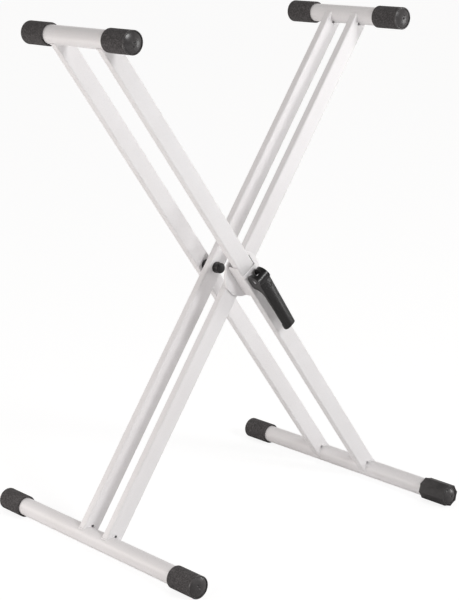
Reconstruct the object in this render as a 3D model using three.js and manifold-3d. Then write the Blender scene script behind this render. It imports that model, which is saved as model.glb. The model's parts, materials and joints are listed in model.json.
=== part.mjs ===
// Folding keyboard stand: two crossed double-tube frames that turn on one axis, with a lever
// clamp at the front crossing and a plain bolted pivot at the rear one. Textured sleeves with
// domed end plugs form the rests and the feet, and one foot end turns to level the stand.
// Millimetres. +Z is up, +X runs to the right across the X of the legs, and -Y is the side of
// the clamp lever. The origin is on the floor, below the pivot and midway along the bars.

import * as THREE from 'three';
import { mergeVertices } from 'three/addons/utils/BufferGeometryUtils.js';
import Module from 'manifold-3d';

const wasm = await Module();
wasm.setup();

// ---------------------------------------------------------------- driving dimensions

// Frame geometry
const legAxisLength = 1038; // from the axis of a top bar to the axis of its foot bar
const leanDegrees = 35; // lean of every leg from the vertical, as photographed
const clearBetweenInnerLegs = 50.4; // free width between the two inner legs
const pivotGap = 14.5; // free width between an inner leg and the outer leg beside it

// Bars
const barDiameter = 32;
const barWall = 1.5;
const topBareLength = 10; // bare top bar between an outer leg and its sleeve
const footBareLength = 142.5; // the same on a foot bar

// Legs
const legWidth = 32; // broad face
const legDepth = 15; // narrow face
const legWall = 1.5;
const legCornerRadius = 2.5;
const legHornSetback = 6; // how far the tips of the saddle cut stay short of the bar's axis
const ventRadius = 2.2; // vent notch in the front wall at the deepest point of each saddle cut

// Sleeves and end plugs
const sleeveThickness = 3.5;
const sleeveReach = 57.8; // from the inner end of a sleeve to the rim of its plug
const sleeveChamfer = 1;
const plugFlange = 3; // thickness of the plug's rim
const plugDomeHeight = 2.5; // how far the dome stands in front of the rim
const plugGrooveDepth = 0.8; // where the dome meets the rim
const plugRimWidth = 1.4; // from the groove to the rounding of the rim
const plugRimRounding = 0.9;
const plugShoulderRadius = 9.5; // where the dome turns from its crown to its flank
const plugShoulderDrop = 0.9;
const plugShankLength = 18;
const plugShankWall = 2;

// Levelling collar
const collarThickness = 4.6; // from the bar to the ridges of its octagon
const collarSides = 8;
const collarTurnDegrees = 7; // turn of the lowest ridge from straight down
const collarSideShift = 1.2; // shift of the octagon towards the pivot
const collarChamfer = 0.8;

// Pivot hardware
const boltRadius = 4;
const bushRadius = 7;
const washerRadius = 8;
const washerThickness = 1.6;
const nutAcrossFlats = 13;
const nutHeight = 8;
const boltHeadHeight = 5.5;
const boltTail = 1; // thread that shows beyond the nut
const spacerRadius = 9.5;
const capFlangeWidth = 0.7; // how far the flange stands out from the cap's body
const capFlangeHeight = 3.2;
const capClearance = 0.2; // round the washer inside
const capWall = 1.1;
const capCrownThickness = 1.4;
const capEdgeRounding = 1.4;

// Clamp disc
const discRadius = 40;
const discThickness = 4.5;
const discEdgeRounding = 1;

// Clamp saddle, a bent sheet that straddles the front outer leg
const saddleSheet = 1.8;
const saddleSideClearance = 0.4;
const saddlePlateStandoff = 1.4; // from the leg's front face to the back of the cross plate
const saddleHalfLength = 34; // along the leg, each way from the pivot
const saddlePlateTop = 13; // top edge of the cross plate, above the pivot
const saddleCheekOverlap = 0.5; // how far the cheeks pass the leg's front face
const saddleBendRadius = 3.2; // outside radius of the two bends
const saddleCornerRadius = 5; // corners of the cheeks beside the disc
const saddleShoulder = 4; // length of each slope between cheek and cross plate

// Draw bolt and pin
const eyeRadius = 7;
const eyeCheek = 1; // how far the eye is wider than its shank, each side
const pinRadius = 3;

// Clamp lever: the cam and the head
const leverWidth = 26.5; // over the ears
const camRadius = 15; // from the pin to the cam's locked face
const camRelease = 0.9; // fall of the cam over its full throw
const leverThrowDegrees = 100;
const leverFlatLength = 12; // locked face of the cam below the pin
const leverFrontReach = 15.5; // from the pin's axis to the front face at the head
const hoodForwardShare = 0.55; // handles of the hood's curve, as shares of the front reach
const hoodHighShare = 0.86; // and of the cam's radius
const hoodLowShare = 0.5;
const heelDrop = 6.6; // from the end of the locked face down to the heel's lowest point
const heelCurve = 2; // height of the heel's rounding over that point
const heelBack = 6; // from the pin's axis back to that point

// Clamp lever: the grip
const leverTipWidth = 25;
const leverTipReach = 13; // from the pin's axis to the front face at the tip
const leverLength = 115; // from the pin's axis to the tip
const gripUnderside = 4.8; // from the pin's axis forward to the grip's back face
const gripRoot = 38; // below the pin, where the grip's back face starts to curve to the heel
const gripRootCurve = 11; // handle of that curve along the grip
const leverCrown = 1; // rise of the front face's middle over its shoulders
const leverFaceTop = 3; // below the pin, where the shouldered front face starts
const headShoulder = 3; // rounding of the front edges there
const tipShoulder = 7; // and at the tip
const tipBevel = 1.5;
const stopHeight = 2.6; // finger stop: how far it stands behind the grip at the tip
const stopLength = 9.5;
const stopCorner = 3;
const hollowDepth = 0.9; // finger hollow just above the stop
const hollowStart = 13.5; // above the tip
const hollowEnd = 19;

// Clamp lever: the badge recess and the cored pockets in the grip's back
const badgeRecessRadius = 6.5;
const badgeRecessDepth = 0.5;
const badgeRecessBelowPin = 15;
const pocketWidth = 17;
const pocketFrontWall = 3.2;
const pocketRib = 2;
const pocketTop = 44; // below the pin
const pocketFoot = 21; // above the tip
const pocketCount = 3;

// Fits
const meshGap = 0.3; // between pieces that touch
const leverSlotClearance = 0.4; // each side of the draw bolt's eye

// Facets
const roundFacets = 32;
const discFacets = 40;
const cutFacets = 40;
const smallFacets = 24;
const boltFacets = 16;
const ventFacets = 8;
const hexFacets = 6;
const legCornerFacets = 2;
const bendFacets = 4;
const curveFacets = 6;
const camSteps = 10;
const shoulderSteps = 4;
const weldTolerance = 1e-4;
const overshoot = 1; // how far a cutting shape runs past the faces that it cuts
const clearAway = 10; // the same where nothing of the piece is near

// ---------------------------------------------------------------- derived sizes

const lean = THREE.MathUtils.degToRad(leanDegrees);
const barRadius = barDiameter / 2;
const sleeveRadius = barRadius + sleeveThickness; // to the middle of its facets
const collarCircumradius = barRadius + collarThickness;
const halfLegLength = legAxisLength / 2;
const barSpanX = halfLegLength * Math.sin(lean);
const footAxisZ = sleeveRadius;
const pivotZ = footAxisZ + halfLegLength * Math.cos(lean);
const topAxisZ = pivotZ + halfLegLength * Math.cos(lean);

const innerLegY = (clearBetweenInnerLegs + legDepth) / 2;
const outerLegY = innerLegY + legDepth + pivotGap;
const innerFaceY = clearBetweenInnerLegs / 2; // face of an inner leg that looks at its twin
const innerOuterFaceY = innerFaceY + legDepth; // face of an inner leg that looks outwards
const outerFaceY = outerLegY + legDepth / 2; // outside face of an outer leg
const topBarOverall = 2 * (outerFaceY + topBareLength + sleeveReach); // over the plugs' rims
const footBarOverall = 2 * (outerFaceY + footBareLength + sleeveReach);

const boltBore = boltRadius + meshGap;
const discRearY = -innerOuterFaceY - meshGap;
const discFrontY = discRearY - discThickness;
const saddlePlateBackY = -outerFaceY - saddlePlateStandoff;
const saddlePlateFrontY = saddlePlateBackY - saddleSheet;
const pinY = saddlePlateFrontY - meshGap - camRadius;
const eyeWidth = 2 * (boltRadius + eyeCheek);
const nutCorner = nutAcrossFlats / 2 / Math.cos(Math.PI / hexFacets);
const capPocketRadius = Math.max(washerRadius, nutCorner) + capClearance;

const colours = {
  paint: { color: 0xecebed, roughness: 0.4, metalness: 0.0 },
  sleeve: { color: 0x4b484a, roughness: 0.9, metalness: 0.0 },
  plug: { color: 0x3a3739, roughness: 0.35, metalness: 0.0 },
  plastic: { color: 0x2b282a, roughness: 0.4, metalness: 0.0 },
  steel: { color: 0xb9bbbe, roughness: 0.3, metalness: 1.0 },
};

// ---------------------------------------------------------------- solid helpers

// Joins vertices that share a place and drops the triangles that collapse.
function weld(geometry) {
  const bare = new THREE.BufferGeometry();
  bare.setAttribute('position', geometry.getAttribute('position').clone());
  if (geometry.index) bare.setIndex(geometry.index.clone());
  const merged = mergeVertices(bare, weldTolerance);
  const index = merged.index.array;
  const kept = [];
  for (let i = 0; i < index.length; i += 3) {
    const [a, b, c] = [index[i], index[i + 1], index[i + 2]];
    if (a !== b && b !== c && c !== a) kept.push(a, b, c);
  }
  merged.setIndex(signedVolume(merged, kept) < 0 ? kept.reverse() : kept);
  return merged;
}

function signedVolume(geometry, index) {
  const position = geometry.getAttribute('position');
  const [a, b, c] = [new THREE.Vector3(), new THREE.Vector3(), new THREE.Vector3()];
  let volume = 0;
  for (let i = 0; i < index.length; i += 3) {
    a.fromBufferAttribute(position, index[i]);
    b.fromBufferAttribute(position, index[i + 1]);
    c.fromBufferAttribute(position, index[i + 2]);
    volume += a.dot(b.cross(c)) / 6;
  }
  return volume;
}

// A closed geometry as a solid that can be cut and joined.
function solid(geometry) {
  const closed = weld(geometry);
  const vertProperties = new Float32Array(closed.getAttribute('position').array);
  const triVerts = new Uint32Array(closed.index.array);
  return new wasm.Manifold(new wasm.Mesh({ numProp: 3, vertProperties, triVerts }));
}

function geometryOf(body) {
  const mesh = body.getMesh();
  const geometry = new THREE.BufferGeometry();
  geometry.setAttribute('position', new THREE.BufferAttribute(mesh.vertProperties, 3));
  geometry.setIndex(new THREE.BufferAttribute(mesh.triVerts, 1));
  return geometry;
}

// A profile of [radius, y] points turned about the Y axis. With flats, the radii are measured
// to the middle of the facets, and one facet faces straight down.
function turned(profile, facets = roundFacets, flats = false) {
  const step = Math.PI / facets;
  const stretch = flats ? 1 / Math.cos(step) : 1;
  const points = profile.map(([r, y]) => new THREE.Vector2(r * stretch, y));
  return weld(new THREE.LatheGeometry(points, facets, flats ? step : 0));
}

// A ring about the Y axis between two ends.
function ring(inner, outer, yFrom, yTo, facets = roundFacets) {
  return turned([[inner, yFrom], [outer, yFrom], [outer, yTo], [inner, yTo], [inner, yFrom]], facets);
}

// A rod about the Y axis between two ends, as a solid.
function rodY(radius, yFrom, yTo, facets = boltFacets) {
  const rod = new THREE.CylinderGeometry(radius, radius, Math.abs(yTo - yFrom), facets);
  return solid(rod.translate(0, (yFrom + yTo) / 2, 0));
}

// A rod about the X axis, centred on the origin, as a solid.
function rodX(radius, length, facets = boltFacets) {
  const rod = new THREE.CylinderGeometry(radius, radius, length, facets);
  return solid(rod.rotateZ(Math.PI / 2));
}

function boxSolid(sizeX, sizeY, sizeZ, x, y, z) {
  return solid(new THREE.BoxGeometry(sizeX, sizeY, sizeZ).translate(x, y, z));
}

function roundedRectangle(shape, width, height, radius) {
  const [w, h] = [width / 2, height / 2];
  shape.moveTo(w - radius, -h);
  shape.absarc(w - radius, -h + radius, radius, -Math.PI / 2, 0, false);
  shape.absarc(w - radius, h - radius, radius, 0, Math.PI / 2, false);
  shape.absarc(-w + radius, h - radius, radius, Math.PI / 2, Math.PI, false);
  shape.absarc(-w + radius, -h + radius, radius, Math.PI, 1.5 * Math.PI, false);
  return shape;
}

// A side view, drawn as (forward, up), given its width along X and centred on X.
function sideExtrusion(shape, width) {
  const slab = new THREE.ExtrudeGeometry(shape, {
    depth: width,
    bevelEnabled: false,
    curveSegments: curveFacets,
  });
  slab.translate(0, 0, -width / 2);
  const forward = new THREE.Vector3(0, -1, 0);
  const up = new THREE.Vector3(0, 0, 1);
  const side = new THREE.Vector3(-1, 0, 0);
  return slab.applyMatrix4(new THREE.Matrix4().makeBasis(forward, up, side));
}

// A skin through rings of equal length, closed at both ends about each end ring's middle.
function loft(rings) {
  const count = rings[0].length;
  const vertices = rings.flat();
  const index = [];
  for (let r = 0; r < rings.length - 1; r += 1) {
    for (let i = 0; i < count; i += 1) {
      const next = (i + 1) % count;
      const [a, b] = [r * count + i, r * count + next];
      index.push(a, b, b + count, a, b + count, a + count);
    }
  }
  for (const r of [0, rings.length - 1]) {
    const middle = new THREE.Vector3();
    rings[r].forEach((point) => middle.addScaledVector(point, 1 / count));
    const hub = vertices.push(middle) - 1;
    for (let i = 0; i < count; i += 1) {
      const pair = [r * count + i, r * count + ((i + 1) % count)];
      if (r === 0) pair.reverse();
      index.push(hub, ...pair);
    }
  }
  const geometry = new THREE.BufferGeometry().setFromPoints(vertices);
  geometry.setIndex(index);
  return geometry;
}

const materials = Object.fromEntries(
  Object.entries(colours).map(([name, look]) => [name, new THREE.MeshStandardMaterial(look)]),
);

function piece(name, geometry, material, parent) {
  const mesh = new THREE.Mesh(geometry, materials[material]);
  mesh.name = name;
  parent.add(mesh);
  return mesh;
}

// ---------------------------------------------------------------- frames

// A leg along Z about the pivot: a rounded rectangular tube whose ends are cut to saddle the
// bars, with a bore for the pivot bush and a vent notch in the front wall at each end.
function legGeometry() {
  const section = roundedRectangle(new THREE.Shape(), legWidth, legDepth, legCornerRadius);
  const hollow = roundedRectangle(
    new THREE.Path(),
    legWidth - 2 * legWall,
    legDepth - 2 * legWall,
    Math.max(legCornerRadius - legWall, legWall / 4),
  );
  section.holes.push(hollow);
  const reach = halfLegLength - legHornSetback;
  const tube = new THREE.ExtrudeGeometry(section, {
    depth: 2 * reach,
    bevelEnabled: false,
    curveSegments: legCornerFacets,
  });
  let leg = solid(tube.translate(0, 0, -reach));
  const saddleRadius = (barRadius + meshGap) / Math.cos(Math.PI / cutFacets);
  const saddle = rodY(saddleRadius, -legDepth, legDepth, cutFacets);
  const ventBackY = legWall + overshoot - legDepth / 2;
  const vent = rodY(ventRadius, -legDepth / 2 - overshoot, ventBackY, ventFacets);
  for (const end of [-1, 1]) {
    leg = leg.subtract(saddle.translate([0, 0, end * halfLegLength]));
    leg = leg.subtract(vent.translate([0, 0, end * (halfLegLength - barRadius - ventRadius / 2)]));
  }
  leg = leg.subtract(rodY(bushRadius + meshGap, -legDepth, legDepth));
  return geometryOf(leg);
}

function barGeometry(overall) {
  const end = overall / 2 - plugFlange - meshGap;
  return ring(barRadius - barWall, barRadius, -end, end);
}

// A sleeve from its inner end to its plug, along +Y from the place of its inner end.
function sleeveGeometry() {
  const inner = barRadius + meshGap;
  const length = sleeveReach - plugFlange - meshGap;
  return turned(
    [
      [inner, 0],
      [sleeveRadius - sleeveChamfer, 0],
      [sleeveRadius, sleeveChamfer],
      [sleeveRadius, length - sleeveChamfer / 2],
      [sleeveRadius - sleeveChamfer / 2, length],
      [inner, length],
      [inner, 0],
    ],
    roundFacets,
    true,
  );
}

// An end plug whose rim lies at y = 0 and whose shank runs to -Y into the bar.
function plugGeometry(rimRadius) {
  const shankRadius = barRadius - barWall - meshGap;
  const grooveRadius = rimRadius - plugRimWidth - plugRimRounding;
  return turned(
    [
      [0, plugDomeHeight],
      [plugShoulderRadius, plugDomeHeight - plugShoulderDrop],
      [grooveRadius, -plugGrooveDepth],
      [rimRadius - plugRimRounding, 0],
      [rimRadius, -plugRimRounding],
      [rimRadius, -plugFlange],
      [shankRadius, -plugFlange],
      [shankRadius, -plugFlange - plugShankLength],
      [shankRadius - plugShankWall, -plugFlange - plugShankLength],
      [shankRadius - plugShankWall, -plugFlange - plugShankWall],
      [0, -plugFlange - plugShankWall],
    ],
    roundFacets,
    rimRadius > barRadius,
  );
}

// A sleeve and its plug on one end of a bar; side is 1 at the rear and -1 at the front.
function addSleevedEnd(parent, prefix, side, overall) {
  const end = side > 0 ? 'rear' : 'front';
  const holder = new THREE.Group();
  holder.rotation.z = side > 0 ? 0 : Math.PI;
  parent.add(holder);
  const sleeve = piece(`${prefix}_sleeve_${end}`, sleeveGeometry(), 'sleeve', holder);
  sleeve.position.y = overall / 2 - sleeveReach;
  const plug = piece(`${prefix}_plug_${end}`, plugGeometry(sleeveRadius), 'plug', holder);
  plug.position.y = overall / 2;
}

// An octagonal collar that turns on the bar's end. Its outline is off-centre from the bar, so
// turning it changes the height of this foot.
function collarGeometry() {
  const turn = THREE.MathUtils.degToRad(collarTurnDegrees);
  const lift = collarCircumradius * Math.cos(turn) - sleeveRadius;
  const outline = (radius, y) => Array.from({ length: collarSides }, (_, i) => {
    const angle = turn - Math.PI / 2 + (i * 2 * Math.PI) / collarSides;
    const x = radius * Math.cos(angle) - collarSideShift;
    return new THREE.Vector3(x, y, radius * Math.sin(angle) + lift);
  });
  const blank = loft([
    outline(collarCircumradius - collarChamfer, 0),
    outline(collarCircumradius, collarChamfer),
    outline(collarCircumradius, sleeveReach - collarChamfer),
    outline(collarCircumradius - collarChamfer, sleeveReach),
  ]);
  const boreRadius = (barRadius + meshGap) / Math.cos(Math.PI / roundFacets);
  const bore = rodY(boreRadius, -overshoot, sleeveReach + overshoot, roundFacets);
  return geometryOf(solid(blank).subtract(bore));
}

// ---------------------------------------------------------------- pivot hardware

// A hexagonal head or nut between two ends on the Y axis.
function hexagon(yFrom, yTo) {
  return rodY(nutCorner, yFrom, yTo, hexFacets);
}

function nutGeometry(yFrom, yTo) {
  const bore = rodY(boltBore, yFrom - overshoot, yTo + overshoot);
  return geometryOf(hexagon(yFrom, yTo).subtract(bore));
}

function washerGeometry(yFrom, yTo) {
  return ring(boltBore, washerRadius, yFrom, yTo, boltFacets);
}

// A two-stepped cap over a nut. It stands on the plane y = 0 and rises along +Y.
function nutCapGeometry() {
  const pocket = capPocketRadius;
  const body = pocket + capWall;
  const flange = body + capFlangeWidth;
  const pocketTopY = washerThickness + nutHeight + boltTail + 3 * meshGap;
  const top = pocketTopY + capCrownThickness;
  return turned(
    [
      [pocket, 0],
      [flange, 0],
      [flange, capFlangeHeight - capEdgeRounding / 2],
      [flange - capEdgeRounding / 2, capFlangeHeight],
      [body, capFlangeHeight],
      [body, top - capEdgeRounding],
      [body - capEdgeRounding, top],
      [0, top],
      [0, pocketTopY],
      [pocket, pocketTopY],
      [pocket, 0],
    ],
    smallFacets,
  );
}

// Washer, nut and cap on the face of an inner leg that looks at its twin. side is the sign of
// that leg's place on Y.
function addCappedNut(parent, prefix, side) {
  const holder = new THREE.Group();
  holder.position.y = side * innerFaceY;
  holder.rotation.z = side > 0 ? Math.PI : 0;
  parent.add(holder);
  const washerTop = meshGap + washerThickness;
  const nutFrom = washerTop + meshGap;
  piece(`${prefix}_nut_washer`, washerGeometry(meshGap, washerTop), 'steel', holder);
  piece(`${prefix}_nut`, nutGeometry(nutFrom, nutFrom + nutHeight), 'steel', holder);
  const cap = piece(`${prefix}_nut_cap`, nutCapGeometry(), 'plastic', holder);
  cap.position.y = meshGap;
}

// The tail of a pivot bolt ends inside its nut cap.
const boltTailY = innerFaceY - meshGap - washerThickness - meshGap - nutHeight - boltTail;

function bushGeometry() {
  return ring(boltBore, bushRadius, -legDepth / 2, legDepth / 2, boltFacets);
}

// The rear bolt, with its head against a washer on the outer leg's back.
function rearBoltGeometry() {
  const headFrom = outerFaceY + meshGap + washerThickness + meshGap;
  const shank = rodY(boltRadius, boltTailY, headFrom + overshoot);
  return geometryOf(shank.add(hexagon(headFrom, headFrom + boltHeadHeight)));
}

// ---------------------------------------------------------------- clamp

// A flat round disc welded to the inner leg's front face, with rounded edges.
function discGeometry() {
  const r = discEdgeRounding;
  return turned(
    [
      [boltBore, discRearY],
      [discRadius - r / 2, discRearY],
      [discRadius, discRearY - r / 2],
      [discRadius, discFrontY + r],
      [discRadius - r, discFrontY],
      [boltBore, discFrontY],
      [boltBore, discRearY],
    ],
    discFacets,
  );
}

// The saddle: a sheet bent to a U round the leg, whose cheeks end just short of the disc. The
// cross plate is cut away above the lever's head, so that the cheeks run on alone.
function saddleGeometry() {
  const inner = legWidth / 2 + saddleSideClearance;
  const outer = inner + saddleSheet;
  const rear = discFrontY - meshGap;
  const front = saddlePlateFrontY;
  const back = saddlePlateBackY;
  const bend = saddleBendRadius;
  const innerBend = bend - saddleSheet;
  const section = new THREE.Shape();
  section.moveTo(outer, rear);
  section.lineTo(inner, rear);
  section.lineTo(inner, back + innerBend);
  section.absarc(inner - innerBend, back + innerBend, innerBend, 0, -Math.PI / 2, true);
  section.lineTo(-inner + innerBend, back);
  section.absarc(-inner + innerBend, back + innerBend, innerBend, -Math.PI / 2, -Math.PI, true);
  section.lineTo(-inner, rear);
  section.lineTo(-outer, rear);
  section.lineTo(-outer, front + bend);
  section.absarc(-outer + bend, front + bend, bend, Math.PI, 1.5 * Math.PI, false);
  section.lineTo(outer - bend, front);
  section.absarc(outer - bend, front + bend, bend, -Math.PI / 2, 0, false);
  section.closePath();
  const length = 2 * saddleHalfLength;
  const channel = new THREE.ExtrudeGeometry(section, {
    depth: length,
    bevelEnabled: false,
    curveSegments: bendFacets,
  });
  const outline = new THREE.Shape();
  const cheekFront = outerFaceY + saddleCheekOverlap;
  const plateFront = -front + overshoot;
  const cheekRear = -rear;
  const r = saddleCornerRadius;
  outline.moveTo(cheekRear, saddleHalfLength - r);
  outline.absarc(cheekRear + r, saddleHalfLength - r, r, Math.PI, Math.PI / 2, true);
  outline.lineTo(cheekFront, saddleHalfLength);
  outline.lineTo(cheekFront, saddlePlateTop + saddleShoulder);
  outline.lineTo(plateFront, saddlePlateTop);
  outline.lineTo(plateFront, saddleShoulder - saddleHalfLength);
  outline.lineTo(cheekFront, -saddleHalfLength);
  outline.lineTo(cheekRear + r, -saddleHalfLength);
  outline.absarc(cheekRear + r, -saddleHalfLength + r, r, -Math.PI / 2, -Math.PI, true);
  outline.closePath();
  const side = solid(sideExtrusion(outline, 2 * (outer + overshoot)));
  const boltHole = rodY(boltBore, front - overshoot, back + overshoot);
  return geometryOf(
    solid(channel.translate(0, 0, -saddleHalfLength)).intersect(side).subtract(boltHole),
  );
}

// The draw bolt: a shank along Y with an eye round the lever's pin at its front end.
function drawBoltGeometry() {
  const shank = rodY(boltRadius, pinY, -boltTailY);
  const eye = rodX(eyeRadius, eyeWidth, smallFacets).translate([0, pinY, 0]);
  const pinHole = rodX(pinRadius + meshGap, eyeWidth + 2 * overshoot).translate([0, pinY, 0]);
  return geometryOf(shank.add(eye).subtract(pinHole));
}

// Side view of the lever about the pin, as (forward, up). The cam's radius falls steadily from
// its locked face, so that the saddle is let go in step with the lever's swing.
function leverOutline() {
  const outline = new THREE.Shape();
  outline.moveTo(-camRadius, -leverFlatLength);
  for (let i = 0; i <= camSteps; i += 1) {
    const share = i / camSteps;
    const angle = THREE.MathUtils.degToRad(leverThrowDegrees) * share;
    const radius = camRadius - camRelease * share;
    outline.lineTo(-radius * Math.cos(angle), radius * Math.sin(angle));
  }
  const front = leverFrontReach;
  outline.bezierCurveTo(
    front * hoodForwardShare,
    camRadius * hoodHighShare,
    front,
    camRadius * hoodLowShare,
    front,
    0,
  );
  const tip = -leverLength;
  const stop = gripUnderside - stopHeight;
  outline.lineTo(leverTipReach, tip + tipBevel);
  outline.lineTo(leverTipReach - tipBevel, tip);
  outline.lineTo(gripUnderside, tip);
  outline.quadraticCurveTo(stop, tip, stop, tip + stopCorner);
  outline.lineTo(stop, tip + stopLength);
  const hollow = gripUnderside + hollowDepth;
  outline.quadraticCurveTo(stop, tip + stopLength + stopCorner, hollow, tip + hollowStart);
  outline.lineTo(gripUnderside, tip + hollowEnd);
  outline.lineTo(gripUnderside, -gripRoot);
  const heel = -leverFlatLength - heelDrop;
  outline.bezierCurveTo(gripUnderside, gripRootCurve - gripRoot, 0, heel - heelCurve, -heelBack, heel);
  outline.quadraticCurveTo(-camRadius, heel + heelCurve, -camRadius, -leverFlatLength);
  return outline;
}

// The space that the lever's rounded front fills: square-edged over the head, and below it a
// crowned face whose shoulders grow towards the tip.
function leverEnvelope() {
  const back = -camRadius - clearAway;
  const section = (width, front, shoulder, up) => {
    const points = [];
    for (let i = 0; i <= shoulderSteps; i += 1) {
      const angle = (i / shoulderSteps) * (Math.PI / 2);
      const x = width / 2 - shoulder + shoulder * Math.cos(angle);
      const y = front - leverCrown - shoulder + shoulder * Math.sin(angle);
      points.push([x, y]);
    }
    const half = [[width / 2, back], ...points, [0, front]];
    const other = half.slice(0, -1).reverse().map(([x, y]) => [-x, y]);
    return [...half, ...other].map(([x, y]) => new THREE.Vector3(x, pinY - y, up));
  };
  const open = leverFrontReach + clearAway;
  const top = camRadius + clearAway;
  return loft([
    section(leverTipWidth, leverTipReach, tipShoulder, -leverLength - clearAway),
    section(leverTipWidth, leverTipReach, tipShoulder, -leverLength),
    section(leverWidth, leverFrontReach, headShoulder, -leverFaceTop),
    section(leverWidth, open, headShoulder, 0),
    section(leverWidth, open, headShoulder, top),
  ]);
}

// The slot between the ears, which lets the lever swing past the eye of the draw bolt.
function leverSlot() {
  const front = eyeRadius + leverSlotClearance;
  const back = camRadius + clearAway;
  const top = camRadius + clearAway;
  return boxSolid(
    eyeWidth + 2 * leverSlotClearance,
    front + back,
    top + front,
    0,
    pinY + (back - front) / 2,
    (top - front) / 2,
  );
}

function leverGeometry() {
  let lever = solid(sideExtrusion(leverOutline(), leverWidth).translate(0, pinY, 0));
  lever = lever.intersect(solid(leverEnvelope()));
  lever = lever.subtract(leverSlot());
  const pinBore = rodX(pinRadius + meshGap, leverWidth + 2 * overshoot);
  lever = lever.subtract(pinBore.translate([0, pinY, 0]));
  const faceSlope = (leverFrontReach - leverTipReach) / leverLength;
  const recessFloor = pinY - leverFrontReach + faceSlope * badgeRecessBelowPin + badgeRecessDepth;
  const recess = rodY(badgeRecessRadius, recessFloor - clearAway, recessFloor, smallFacets);
  lever = lever.subtract(recess.translate([0, 0, -badgeRecessBelowPin]));
  const pocketRun = leverLength - pocketFoot - pocketTop;
  const pocketLength = (pocketRun - (pocketCount - 1) * pocketRib) / pocketCount;
  const pocketDepth = leverTipReach - pocketFrontWall;
  for (let i = 0; i < pocketCount; i += 1) {
    const middle = -pocketTop - pocketLength / 2 - i * (pocketLength + pocketRib);
    const pocket = boxSolid(pocketWidth, pocketDepth, pocketLength, 0, pinY - pocketDepth / 2, middle);
    lever = lever.subtract(pocket);
  }
  return geometryOf(lever);
}

function pinGeometry() {
  return geometryOf(rodX(pinRadius, leverWidth).translate([0, pinY, 0]));
}

// ---------------------------------------------------------------- assembly

const stand = new THREE.Group();

// Everything that keeps the lean of one pair of legs hangs in a turned group at the pivot.
function leaningGroup(angle) {
  const group = new THREE.Group();
  group.position.z = pivotZ;
  group.rotation.y = angle;
  stand.add(group);
  return group;
}

// One frame: two legs with their pivot bushes, a top bar and a foot bar. side is -1 where the
// frame's top lies on the left.
function addFrame(name, legY, side) {
  const legs = leaningGroup(side * lean);
  for (const [end, sign] of [['front', -1], ['rear', 1]]) {
    const leg = piece(`${name}_leg_${end}`, legGeometry(), 'paint', legs);
    leg.position.y = sign * legY;
    const bush = piece(`${name}_bush_${end}`, bushGeometry(), 'steel', legs);
    bush.position.y = sign * legY;
  }
  const bars = {};
  for (const [level, overall, x, z] of [
    ['top', topBarOverall, side * barSpanX, topAxisZ],
    ['foot', footBarOverall, -side * barSpanX, footAxisZ],
  ]) {
    const group = new THREE.Group();
    group.position.set(x, 0, z);
    stand.add(group);
    piece(`${name}_${level}_bar`, barGeometry(overall), 'paint', group);
    addSleevedEnd(group, `${name}_${level}`, 1, overall);
    bars[level] = group;
  }
  return { legs, bars };
}

const outer = addFrame('outer', outerLegY, -1);
const inner = addFrame('inner', innerLegY, 1);
addSleevedEnd(outer.bars.top, 'outer_top', -1, topBarOverall);
addSleevedEnd(inner.bars.top, 'inner_top', -1, topBarOverall);
addSleevedEnd(inner.bars.foot, 'inner_foot', -1, footBarOverall);

const levellingCollar = piece('levelling_collar', collarGeometry(), 'plastic', outer.bars.foot);
levellingCollar.position.y = -footBarOverall / 2;
const collarPlug = piece('levelling_plug', plugGeometry(barRadius - meshGap), 'plug', outer.bars.foot);
collarPlug.rotation.z = Math.PI;
collarPlug.position.y = -footBarOverall / 2;

piece('clamp_disc', discGeometry(), 'paint', inner.legs);
piece('clamp_saddle', saddleGeometry(), 'paint', outer.legs);
piece('clamp_lever', leverGeometry(), 'plastic', outer.legs);
piece('clamp_pin', pinGeometry(), 'steel', outer.legs);
piece('draw_bolt', drawBoltGeometry(), 'steel', outer.legs);
addCappedNut(outer.legs, 'draw_bolt', -1);

piece('rear_bolt', rearBoltGeometry(), 'steel', outer.legs);
const headWasherY = outerFaceY + meshGap;
const headWasher = washerGeometry(headWasherY, headWasherY + washerThickness);
piece('rear_bolt_head_washer', headWasher, 'steel', outer.legs);
const spacerFromY = innerOuterFaceY + meshGap;
const spacerToY = innerOuterFaceY + pivotGap - meshGap;
const spacer = ring(boltBore, spacerRadius, spacerFromY, spacerToY, smallFacets);
piece('rear_spacer', spacer, 'plastic', outer.legs);
addCappedNut(outer.legs, 'rear_bolt', 1);

export default stand;
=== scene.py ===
"""Looks of the folding keyboard stand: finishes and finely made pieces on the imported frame.

Metres. +Z is up, +X runs to the right across the X of the legs, and -Y is the side of the clamp
lever. The origin is on the floor, below the pivot and midway along the bars.
"""

import json
import logging
import math
from collections.abc import Sequence
from dataclasses import dataclass, field
from enum import Enum
from functools import partial, reduce

import bmesh
import bpy
import numpy as np
from mathutils import Matrix, Vector


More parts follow.
